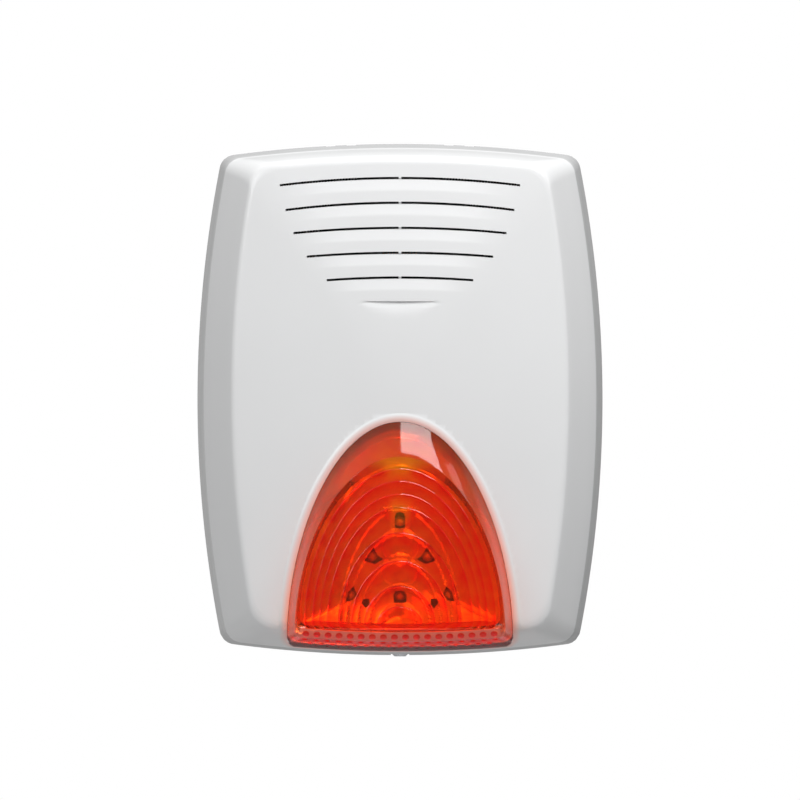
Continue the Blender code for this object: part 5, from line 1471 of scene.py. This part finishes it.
def make_lens_studs(red):
    """Round studs in rows along the lens's pale strip and underside."""
    recipe = Recipe("foot_studs", {"Half Length": ("Float", 0.0), "Height": ("Float", 0.0),
                                   "Depth": ("Float", 0.0), "Count": ("Int", 2), "Bow": ("Float", END_ARC),
                                   "Radius": ("Float", 0.002), "Flatness": ("Float", 0.4),
                                   "Tilt": ("Float", 0.0)})
    given = recipe.given
    back = recipe.math("MULTIPLY", given["Depth"], -1.0)
    left = recipe.math("MULTIPLY", given["Half Length"], -1.0)
    row = recipe.line(recipe.spot(left, back, given["Height"]),
                      recipe.spot(given["Half Length"], back, given["Height"]), given["Count"])
    parts = recipe.tree.nodes.new("ShaderNodeSeparateXYZ")
    recipe.tree.links.new(recipe.add("InputPosition"), parts.inputs[0])
    square = recipe.math("MULTIPLY", parts.outputs[0], parts.outputs[0])
    rise = recipe.math("DIVIDE", square, recipe.math("MULTIPLY", given["Bow"], 2.0))
    row = recipe.add("SetPosition", {"Geometry": row, "Offset": recipe.spot(0.0, 0.0, rise)})
    bead = recipe.add("MeshUVSphere", {"Segments": 20, "Rings": 10, "Radius": given["Radius"]})
    bead = recipe.moved(bead, scale=recipe.spot(1.0, given["Flatness"], 1.0))
    bead = recipe.moved(bead, turn=recipe.spot(given["Tilt"], 0.0, 0.0))
    recipe.close(recipe.joined(recipe.repeated(row, bead), given["Geometry"]))
    studs = places_mesh("lens_foot_studs", [])
    for half_length, height, depth, count, radius, flatness, tilt in STUD_ROWS:
        follow(recipe, studs, red, 40, Half_Length=half_length, Height=height, Depth=depth, Count=count,
               Radius=radius, Flatness=flatness, Tilt=tilt)
    coat(studs, red, 40)
    for item in studs.data.attributes.new("thickness", "FLOAT", "POINT").data:
        item.value = 1.0
    place_piece(studs, "cover", "lens_plastic")


# ---------------------------------------------------------------- horn and driver
def horn_recipe():
    """The flare of a horn: its radius grows from throat to mouth by a power of the distance."""
    recipe = Recipe("horn_flare", {"Throat": ("Float", 0.009), "Mouth": ("Float", 0.040),
                                   "Rear": ("Float", 0.027), "Front": ("Float", 0.063),
                                   "Height": ("Float", HORN_HEIGHT),
                                   "Power": ("Float", 2.1), "Wall": ("Float", 0.0018)})
    given = recipe.given
    ends = [recipe.spot(0.0, recipe.math("MULTIPLY", given[end], -1.0), given["Height"])
            for end in ("Front", "Rear")]
    axis = recipe.add("CurvePrimitiveLine", {"Start": ends[0], "End": ends[1]})
    axis = recipe.add("ResampleCurve", {"Curve": axis, "Count": 44})
    share = recipe.tree.nodes.new("GeometryNodeSplineParameter").outputs["Factor"]
    share = recipe.math("POWER", recipe.math("SUBTRACT", 1.0, share), given["Power"])
    growth = recipe.math("SUBTRACT", given["Mouth"], given["Throat"])
    radius = recipe.math("ADD", given["Throat"], recipe.math("MULTIPLY", share, growth))
    circle = recipe.add("CurvePrimitiveCircle", {"Resolution": 96, "Radius": 1.0})
    inner, outer = [recipe.add("CurveToMesh", {"Curve": axis, "Profile Curve": circle,
                                               "Scale": recipe.math("ADD", radius, extra)})
                    for extra in (0.0, given["Wall"])]
    recipe.close(recipe.joined(recipe.add("FlipFaces", {"Mesh": inner}), outer))
    return recipe


def bridge_open_edges(obj):
    """Close the ends between an inner and an outer wall."""
    shape = bmesh.new()
    shape.from_mesh(obj.data)
    bmesh.ops.remove_doubles(shape, verts=shape.verts, dist=WELD)
    edges = [edge for edge in shape.edges if len(edge.link_faces) == 1]
    middle = sum(edge.verts[0].co.y for edge in edges) / len(edges)
    for front in (True, False):
        ends = [edge for edge in edges if (edge.verts[0].co.y < middle) == front]
        bmesh.ops.bridge_loops(shape, edges=ends)
    tidy_faces(shape)
    shape.to_mesh(obj.data)
    shape.free()


def turned(name, profile, x, z, material, steps=72, smooth_angle=32):
    """A piece turned about an axis out of the wall; the profile holds radius and depth and is closed."""
    shape = bmesh.new()
    rings = []
    for radius, depth in profile:
        if radius == 0:
            rings.append([shape.verts.new(point(x, depth, z))])
            continue
        rings.append([shape.verts.new(point(x + radius * math.cos(2 * math.pi * step / steps), depth,
                                            z + radius * math.sin(2 * math.pi * step / steps)))
                      for step in range(steps)])
    pairs = list(zip(rings, rings[1:]))
    if len(rings[0]) > 1 and len(rings[-1]) > 1:
        pairs.append((rings[-1], rings[0]))
    for near, far in pairs:
        for index in range(steps):
            after = (index + 1) % steps
            corners = [near[index % len(near)], near[after % len(near)], far[after % len(far)],
                       far[index % len(far)]]
            corners = [v for spot, v in enumerate(corners) if v not in corners[:spot]]
            if len(corners) > 2:
                shape.faces.new(corners)
    bmesh.ops.recalc_face_normals(shape, faces=shape.faces)
    return mesh_object(name, shape, material, smooth_angle)


def make_horn(black):
    """The flared horn with its flange, ribs and screw holes."""
    horn = follow(horn_recipe(), places_mesh("flared_horn", []), black, 30)
    bridge_open_edges(horn)
    for name, profile in (("flange", HORN_FLANGE), ("mouth_bead", MOUTH_BEAD)):
        join_or_cut(horn, turned(name, profile, 0.0, HORN_HEIGHT, None), "UNION")
    ribs = bmesh.new()
    away, depth = RIB_PLACE
    for index in range(HORN_RIBS):
        angle = (index + 0.5) * 2 * math.pi / HORN_RIBS
        centre = (away * math.cos(angle), depth, HORN_HEIGHT + away * math.sin(angle))
        add_box(ribs, RIB_SIZE, centre, Matrix.Rotation(-angle, 4, "Y"))
    join_or_cut(horn, mesh_object("horn_ribs", ribs), "UNION")
    join_or_cut(horn, turned("bore", THROAT_BORE, 0.0, HORN_HEIGHT, None), "DIFFERENCE")
    change_piece(horn, "horn_holes", "DIFFERENCE",
                 [upright_rod(x, z, *sizes) for x, z in HORN_SCREWS
                  for sizes in ((*HORN_SCREW_BORE, 24), (*HORN_SCREW_SEAT, 32))])
    coat(horn, black, 30)
    place_piece(horn, "wall_box", "horn_plastic", "horn_flare")


def diaphragm_profile():
    """Radius and depth of the diaphragm: a rippled surround and a dome, and the same again under them."""
    radius, width, steps, depth, height = RIPPLES
    upper = [(radius - width * step / steps, depth + height * math.cos(step * math.pi / 2))
             for step in range(steps + 1)]
    radius, rise, steps, depth = DOME
    for step in range(1, steps):
        angle = step * math.pi / 2 / steps
        upper.append((radius * math.cos(angle), depth + rise * math.sin(angle)))
    upper.append((0.0, depth + rise))
    lower = [(radius, depth - FILM) for radius, depth in reversed(upper)]
    return upper + lower[1:]


def make_driver(metal, film):
    """The driver's cup behind the horn, its magnet and its diaphragm."""
    for name, profile, finish, slot, node in (
            ("driver_cup", DRIVER_CUP, metal, "driver_metal", "driver_housing"),
            ("ring_magnet", RING_MAGNET, metal, "driver_metal", "driver_magnet"),
            ("domed_diaphragm", diaphragm_profile(), film, "diaphragm_film", "driver_diaphragm")):
        place_piece(turned(name, profile, 0.0, HORN_HEIGHT, finish), "wall_box", slot, node)


# ---------------------------------------------------------------- boards and their parts
def round_edges(piece, width):
    """Round a piece's edges over a small width."""
    rounding = piece.modifiers.new("rounding", "BEVEL")
    rounding.width = width
    rounding.segments = 3
    return rounding


def refined(node, name, material, body, slot, bevel, smooth_angle=35):
    """A copy of a plain node with its triangles merged and its edges rounded."""
    shape = bmesh.new()
    shape.from_mesh(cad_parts[node].data)
    bmesh.ops.remove_doubles(shape, verts=shape.verts, dist=WELD)
    bmesh.ops.dissolve_limit(shape, angle_limit=math.radians(1.0), verts=shape.verts, edges=shape.edges)
    piece = mesh_object(name, shape, material)
    rounding = round_edges(piece, bevel)
    rounding.limit_method = "ANGLE"
    rounding.angle_limit = math.radians(40)
    rounding.use_clamp_overlap = True
    bake_modifiers(piece, smooth_angle)
    return place_piece(piece, body, slot, node)


def block(name, size, centre, bevel, material, *changes):
    """A moulded block with rounded edges, with smaller boxes or rods joined on or cut out."""
    shape = bmesh.new()
    add_box(shape, size, centre)
    piece = mesh_object(name, shape, material)
    round_edges(piece, bevel)
    bake_modifiers(piece)
    for operation, parts in changes:
        change_piece(piece, "tool", operation, parts)
    coat(piece, material, 35)
    return piece


def on_board(size, place, lift=0.0):
    """The middle of a part that stands on the main board."""
    return place[0], BOARD_TOP + size[1] / 2 + lift, place[1]


def terminal_strip(ivory):
    """The terminal strip, with a wire entry and a screw in each way."""
    entries, heads = [], []
    for index in range(TERMINAL_WAYS):
        x = TERMINAL_PLACE[0] + (index - (TERMINAL_WAYS - 1) / 2) * TERMINAL_PITCH
        entries.append(((0.0040, 0.0040, 0.0060), (x, BOARD_TOP + 0.0040, 0.0310)))
        heads.append(upright_rod(x, 0.0250, 0.0019, BOARD_TOP + 0.0078, BOARD_TOP + 0.0200, 28))
    return block("terminal_strip", TERMINAL_SIZE, on_board(TERMINAL_SIZE, TERMINAL_PLACE), 0.0004, ivory,
                 ("DIFFERENCE", entries), ("DIFFERENCE", heads))


def make_board_parts(black, ivory):
    """The terminal strip, transformer, relay, chip, plugs and capacitor on the main board."""
    place_piece(terminal_strip(ivory), "wall_box", "connector_plastic", "terminal_block")
    x, z = TRANSFORMER_PLACE
    transformer = block("audio_transformer_core", TRANSFORMER_SIZE,
                        on_board(TRANSFORMER_SIZE, TRANSFORMER_PLACE), 0.0004, black,
                        ("UNION", [(WINDING_SIZE, (x, BOARD_TOP + 0.0090, z))]))
    x, z = RELAY_PLACE
    relay = block("siren_relay_case", RELAY_SIZE, on_board(RELAY_SIZE, RELAY_PLACE), 0.0006, black,
                  ("DIFFERENCE", [((0.0100, 0.0006, 0.0006), (x, BOARD_TOP + 0.0140, z + 0.0038)),
                                  ((0.0008, 0.0050, 0.0008), (x - 0.0078, BOARD_TOP + 0.0030, z + 0.0053))]))
    x, z = CHIP_PLACE
    notch = upright_rod(x, z + 0.0082, 0.0009, BOARD_TOP + 0.0025, BOARD_TOP + 0.0060, 28)
    chip = block("controller_chip_body", CHIP_SIZE, on_board(CHIP_SIZE, CHIP_PLACE, CHIP_LIFT), 0.0002, black,
                 ("DIFFERENCE", [notch]))
    for piece, node in ((transformer, "audio_transformer"), (relay, "siren_relay"), (chip, "controller_chip")):
        place_piece(piece, "wall_box", "component_black", node)
    for name, node, size, x, z in PLUGS:
        slots = [((0.0012, 0.0024, 0.0030), (x + side * size[0] * 0.22, BOARD_TOP + 0.0080, z))
                 for side in (-1, 1)]
        slots.append(((size[0] * 0.5, 0.0012, 0.0008), (x, BOARD_TOP + 0.0050, z + size[2] / 2)))
        plug = block(name, size, on_board(size, (x, z)), 0.0004, ivory, ("DIFFERENCE", slots))
        place_piece(plug, "wall_box", "connector_plastic", node)
    can = turned("reservoir_capacitor_can", CAPACITOR_CAN, *CAPACITOR_PLACE, black)
    place_piece(can, "wall_box", "component_black", "reservoir_capacitor")


def row_recipe():
    """Equal blocks in a row between two places."""
    recipe = Recipe("row_of_blocks", {"Start": ("Vector", (0.0, 0.0, 0.0)), "Stop": ("Vector", (0.0, 0.0, 0.0)),
                                      "Count": ("Int", 2), "Size": ("Vector", (0.001, 0.001, 0.001))})
    given = recipe.given
    line = recipe.line(given["Start"], given["Stop"], given["Count"])
    cube = recipe.add("MeshCube", {"Size": given["Size"]})
    recipe.close(recipe.joined(recipe.repeated(line, cube), given["Geometry"]))
    return recipe


def make_rows(recipe, name, material, slot, spans):
    """Rows of small blocks on the main board, as one piece."""
    piece = places_mesh(name, [])
    for start, stop, count, size in spans:
        follow(recipe, piece, material, 30, Start=point(*start), Stop=point(*stop), Count=count, Size=size)
    coat(piece, material, 30)
    place_piece(piece, "wall_box", slot)


def make_soldered_parts(black, tin):
    """The chip's legs, the terminal strip's screws and the chip resistors with their tinned ends."""
    recipe = row_recipe()
    x, z = CHIP_PLACE
    spans = [((x + leg, SOLDER_DEPTH, z - 0.0078), (x + leg, SOLDER_DEPTH, z + 0.0078), CHIP_LEGS, CHIP_LEG)
             for leg in (-0.0043, 0.0043)]
    x = TERMINAL_PLACE[0]
    reach = (TERMINAL_WAYS - 1) / 2 * TERMINAL_PITCH
    depth = SOLDER_DEPTH + 0.0075
    spans.append(((x - reach, depth, 0.0250), (x + reach, depth, 0.0250), TERMINAL_WAYS,
                  (0.0034, 0.0010, 0.0034)))
    left, right = RESISTOR_SPAN
    depth = SOLDER_DEPTH + 0.0002
    for height in RESISTOR_HEIGHTS:
        for side in (-0.0009, 0.0009):
            spans.append(((left + side, depth, height), (right + side, depth, height), RESISTORS, RESISTOR_END))
    make_rows(recipe, "solder_ends", tin, "terminal_tin", spans)
    make_rows(recipe, "chip_resistors", black, "component_black",
              [((left, depth, height), (right, depth, height), RESISTORS, RESISTOR_SIZE)
               for height in RESISTOR_HEIGHTS])


def make_lamps(resin):
    """The flasher's six lamps: a round foot, a straight body and a dome."""
    recipe = Recipe("clear_lamps", {"Radius": ("Float", 0.0025), "Length": ("Float", 0.0080)})
    radius, length = recipe.given["Radius"], recipe.given["Length"]
    straight = recipe.math("SUBTRACT", length, radius)
    body = recipe.add("MeshCylinder", {"Vertices": 36, "Radius": radius, "Depth": straight})
    body = recipe.moved(body, recipe.spot(0.0, 0.0, recipe.math("MULTIPLY", straight, 0.5)))
    dome = recipe.moved(recipe.add("MeshUVSphere", {"Segments": 36, "Rings": 18, "Radius": radius}),
                        recipe.spot(0.0, 0.0, straight))
    foot = recipe.add("MeshCylinder", {"Vertices": 36, "Radius": recipe.math("MULTIPLY", radius, 1.12),
                                       "Depth": 0.0010})
    foot = recipe.moved(foot, (0.0, 0.0, 0.0005))
    whole = recipe.add("MeshBoolean", {"Mesh 2": [body, dome, foot]}, operation="UNION")
    recipe.close(recipe.repeated(recipe.given["Geometry"], whole, Rotation=OUTWARD))
    lamps = places_mesh("clear_lamps", [point(x, LED_SEAT, z) for x, z in LED_PLACES])
    follow(recipe, lamps, resin, 40)
    place_piece(lamps, "wall_box", "led_resin", *[f"led_{index}" for index in range(1, len(LED_PLACES) + 1)])


# ---------------------------------------------------------------- box and battery
def pocket_outline(half_width, top, bottom):
    """A rectangle with round corners."""
    outline = []
    low, high = bottom + POCKET_CORNER, top - POCKET_CORNER
    reach = half_width - POCKET_CORNER
    for quarter, centre in enumerate(((reach, high), (-reach, high), (-reach, low), (reach, low))):
        outline += arc(centre, POCKET_CORNER, quarter * math.pi / 2, (quarter + 1) * math.pi / 2, 6)
    return outline


def make_box(white):
    """The wall box with rounded edges, shallow pockets in its rear and a ring round the knock-out."""
    box = refined("back_box", "wall_box_moulding", white, "wall_box", "box_plastic", 0.0003)
    cuts = bmesh.new()
    for half_width, top, bottom, middle in REAR_POCKETS:
        outline = pocket_outline(half_width, top, bottom)
        add_prism(cuts, [[point(middle + p.x, depth, p.y) for p in outline]
                         for depth in (CUT_START, POCKET_DEPTH)])
    tidy_faces(cuts)
    join_or_cut(box, mesh_object("rear_pockets", cuts), "DIFFERENCE")
    x, z, outer = KNOCK_OUT
    width, depth = KNOCK_OUT_GROOVE
    inner = outer - width
    ring = turned("knock_out_ring", ((outer, CUT_START), (outer, depth), (inner, depth), (inner, CUT_START)),
                  x, z, None, 48)
    join_or_cut(box, ring, "DIFFERENCE")
    coat(box, white, 35)


def make_battery(grey):
    """The battery block: a welded lid, inset panels and, on top, terminal wells and vents."""
    width, depth, height = BATTERY_SIZE
    x, middle, z = BATTERY_PLACE
    top = z + height / 2
    lid = z + height * LID_SEAM
    across, upright = SEAM
    seams = [((width + 0.004, across, upright), (x, middle + side * depth / 2, lid)) for side in (-1, 1)]
    ends = [((across, depth + 0.004, upright), (x + side * width / 2, middle, lid)) for side in (-1, 1)]
    panels = [(PANEL_SIZE, (x + spot * PANEL_PITCH, middle + depth / 2, PANEL_HEIGHT)) for spot in (-1, 0, 1)]
    panels += [(END_PANEL_SIZE, (x + side * width / 2, middle, PANEL_HEIGHT)) for side in (-1, 1)]
    wells = [(TERMINAL_WELL, (x + side * TERMINAL_WELL_X, middle, top)) for side in (-1, 1)]
    wells += [(VENT_SIZE, (x + spot * VENT_PITCH, middle + VENT_SHIFT, top)) for spot in (-2, -1, 0, 1, 2)]
    case = block("battery_case", BATTERY_SIZE, BATTERY_PLACE, 0.0012, grey,
                 *[("DIFFERENCE", parts) for parts in (seams, ends, panels, wells)])
    place_piece(case, "wall_box", "battery_case", "battery")


def make_small_parts(laminate, steel, tin, black, acetal):
    """Boards, strap, battery tabs, tamper switches and hinge pins, with their edges rounded."""
    for board in ("main_board", "led_board"):
        refined(board, board + "_laminate", laminate, "wall_box", "board_laminate", 0.00015)
    refined("battery_strap", "bent_strap", steel, "wall_box", "strap_steel", 0.00025)
    for pole in ("plus", "minus"):
        refined(f"battery_tab_{pole}", f"blade_{pole}", tin, "wall_box", "terminal_tin", 0.0001)
    for use in ("cover", "wall"):
        refined(f"{use}_tamper_switch", f"{use}_switch_case", black, "wall_box", "component_black", 0.0004)
        refined(f"{use}_tamper_plunger", f"{use}_plunger_rod", acetal, f"{use}_tamper_plunger",
                "plunger_plastic", 0.0003)
    for side in ("left", "right"):
        refined(f"hinge_pin_{side}", f"rounded_pin_{side}", steel, "wall_box", "screw_steel", 0.0002)


def dress(finish, slot, *nodes):
    """Give plain nodes of the frame their finish."""
    for name in nodes:
        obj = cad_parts[name]
        obj.data.materials.clear()
        obj.data.materials.append(finish)


# ---------------------------------------------------------------- stage
def make_softbox(name, place, target, size, brightness):
    """A soft square light that faces a target."""
    light = bpy.data.lights.new(name, "AREA")
    light.shape = "RECTANGLE"
    light.size = size
    light.size_y = size
    light.energy = brightness * math.pi * size * size
    obj = bpy.data.objects.new(name, light)
    obj.location = place
    obj.rotation_euler = (Vector(target) - Vector(place)).to_track_quat("-Z", "Y").to_euler()
    bpy.context.scene.collection.objects.link(obj)


def make_camera():
    """A far camera straight in front of the siren."""
    camera = bpy.data.cameras.new("camera")
    camera.lens = LONG_LENS
    camera.sensor_width = 36.0
    camera.clip_end = 100.0
    view = bpy.data.objects.new("camera", camera)
    view.location = (0.0, -VIEW_WIDTH * camera.lens / camera.sensor_width, VIEW_HEIGHT)
    view.rotation_euler = (math.radians(90), 0.0, 0.0)
    bpy.context.scene.collection.objects.link(view)
    bpy.context.scene.camera = view
    bpy.context.scene.view_settings.view_transform = "Standard"


def make_world():
    """White studio air: bright overhead and at the sides, dim in front and below."""
    world = bpy.data.worlds.new("studio")
    bpy.context.scene.world = world
    world.use_nodes = True
    tree = world.node_tree
    air = tree.nodes["Background"]
    direction = tree.nodes.new("ShaderNodeTexCoord")
    parts = tree.nodes.new("ShaderNodeSeparateXYZ")
    tree.links.new(direction.outputs["Generated"], parts.inputs[0])
    strength = None
    for axis, start, stop, low, high in AIR:
        spread = tree.nodes.new("ShaderNodeMapRange")
        tree.links.new(parts.outputs[axis], spread.inputs["Value"])
        for label, value in (("From Min", start), ("From Max", stop), ("To Min", low), ("To Max", high)):
            spread.inputs[label].default_value = value
        if strength is None:
            strength = spread.outputs[0]
            continue
        product = tree.nodes.new("ShaderNodeMath")
        product.operation = "MULTIPLY"
        tree.links.new(strength, product.inputs[0])
        tree.links.new(spread.outputs[0], product.inputs[1])
        strength = product.outputs[0]
    tree.links.new(strength, air.inputs["Strength"])
    backdrop = tree.nodes.new("ShaderNodeBackground")
    ray = tree.nodes.new("ShaderNodeLightPath")
    blend = tree.nodes.new("ShaderNodeMixShader")
    tree.links.new(ray.outputs["Is Camera Ray"], blend.inputs[0])
    tree.links.new(air.outputs[0], blend.inputs[1])
    tree.links.new(backdrop.outputs[0], blend.inputs[2])
    tree.links.new(blend.outputs[0], tree.nodes["World Output"].inputs["Surface"])
    for node in (air, backdrop):
        node.inputs["Color"].default_value = (1.0, 1.0, 1.0, 1.0)


def make_stage():
    """Pale floor, soft studio light and the camera."""
    floor_finish = Finish("pale_floor", (0.60, 0.60, 0.60), 0.7)
    floor_finish.vary(0.02, 3.0)
    shape = bmesh.new()
    add_box(shape, (4.0, 4.0, 0.01), (0.0, 0.0, FLOOR_HEIGHT))
    mesh_object("studio_floor", shape, floor_finish.material)
    for softbox in SOFTBOXES:
        make_softbox(*softbox)
    make_world()
    make_camera()


# ---------------------------------------------------------------- build
make_stage()
lens_red = red_lens()
steel = brushed_steel()
component_black = plain_finish("black_component_plastic")
ivory = plain_finish("connector_ivory")
tin = plain_finish("tinned_brass")

make_cover(gloss_white())
make_lens(lens_red)
make_reflector(bright_plating())
make_screws(steel)
make_slot_screen(plain_finish("screen_black_nylon"))
make_lens_studs(lens_red)
make_horn(plain_finish("black_horn_plastic"))
make_driver(plain_finish("zinc_driver_metal"), plain_finish("amber_diaphragm_film"))
make_board_parts(component_black, ivory)
make_soldered_parts(component_black, tin)
make_lamps(clear_resin())
make_box(plain_finish("box_white_plastic"))
make_battery(plain_finish("battery_grey_case"))
make_small_parts(green_laminate(), steel, tin, component_black, plain_finish("plunger_white_acetal"))
dress(plain_finish("black_rubber"), "seal_rubber", "lens_seal", "cable_grommet")
dress(plain_finish("red_sheath"), "lead_red", "battery_lead_red")
dress(plain_finish("black_sheath"), "lead_black", "battery_lead_black")
dress(plain_finish("grey_sheath"), "lead_grey", "flasher_lead", "driver_lead")
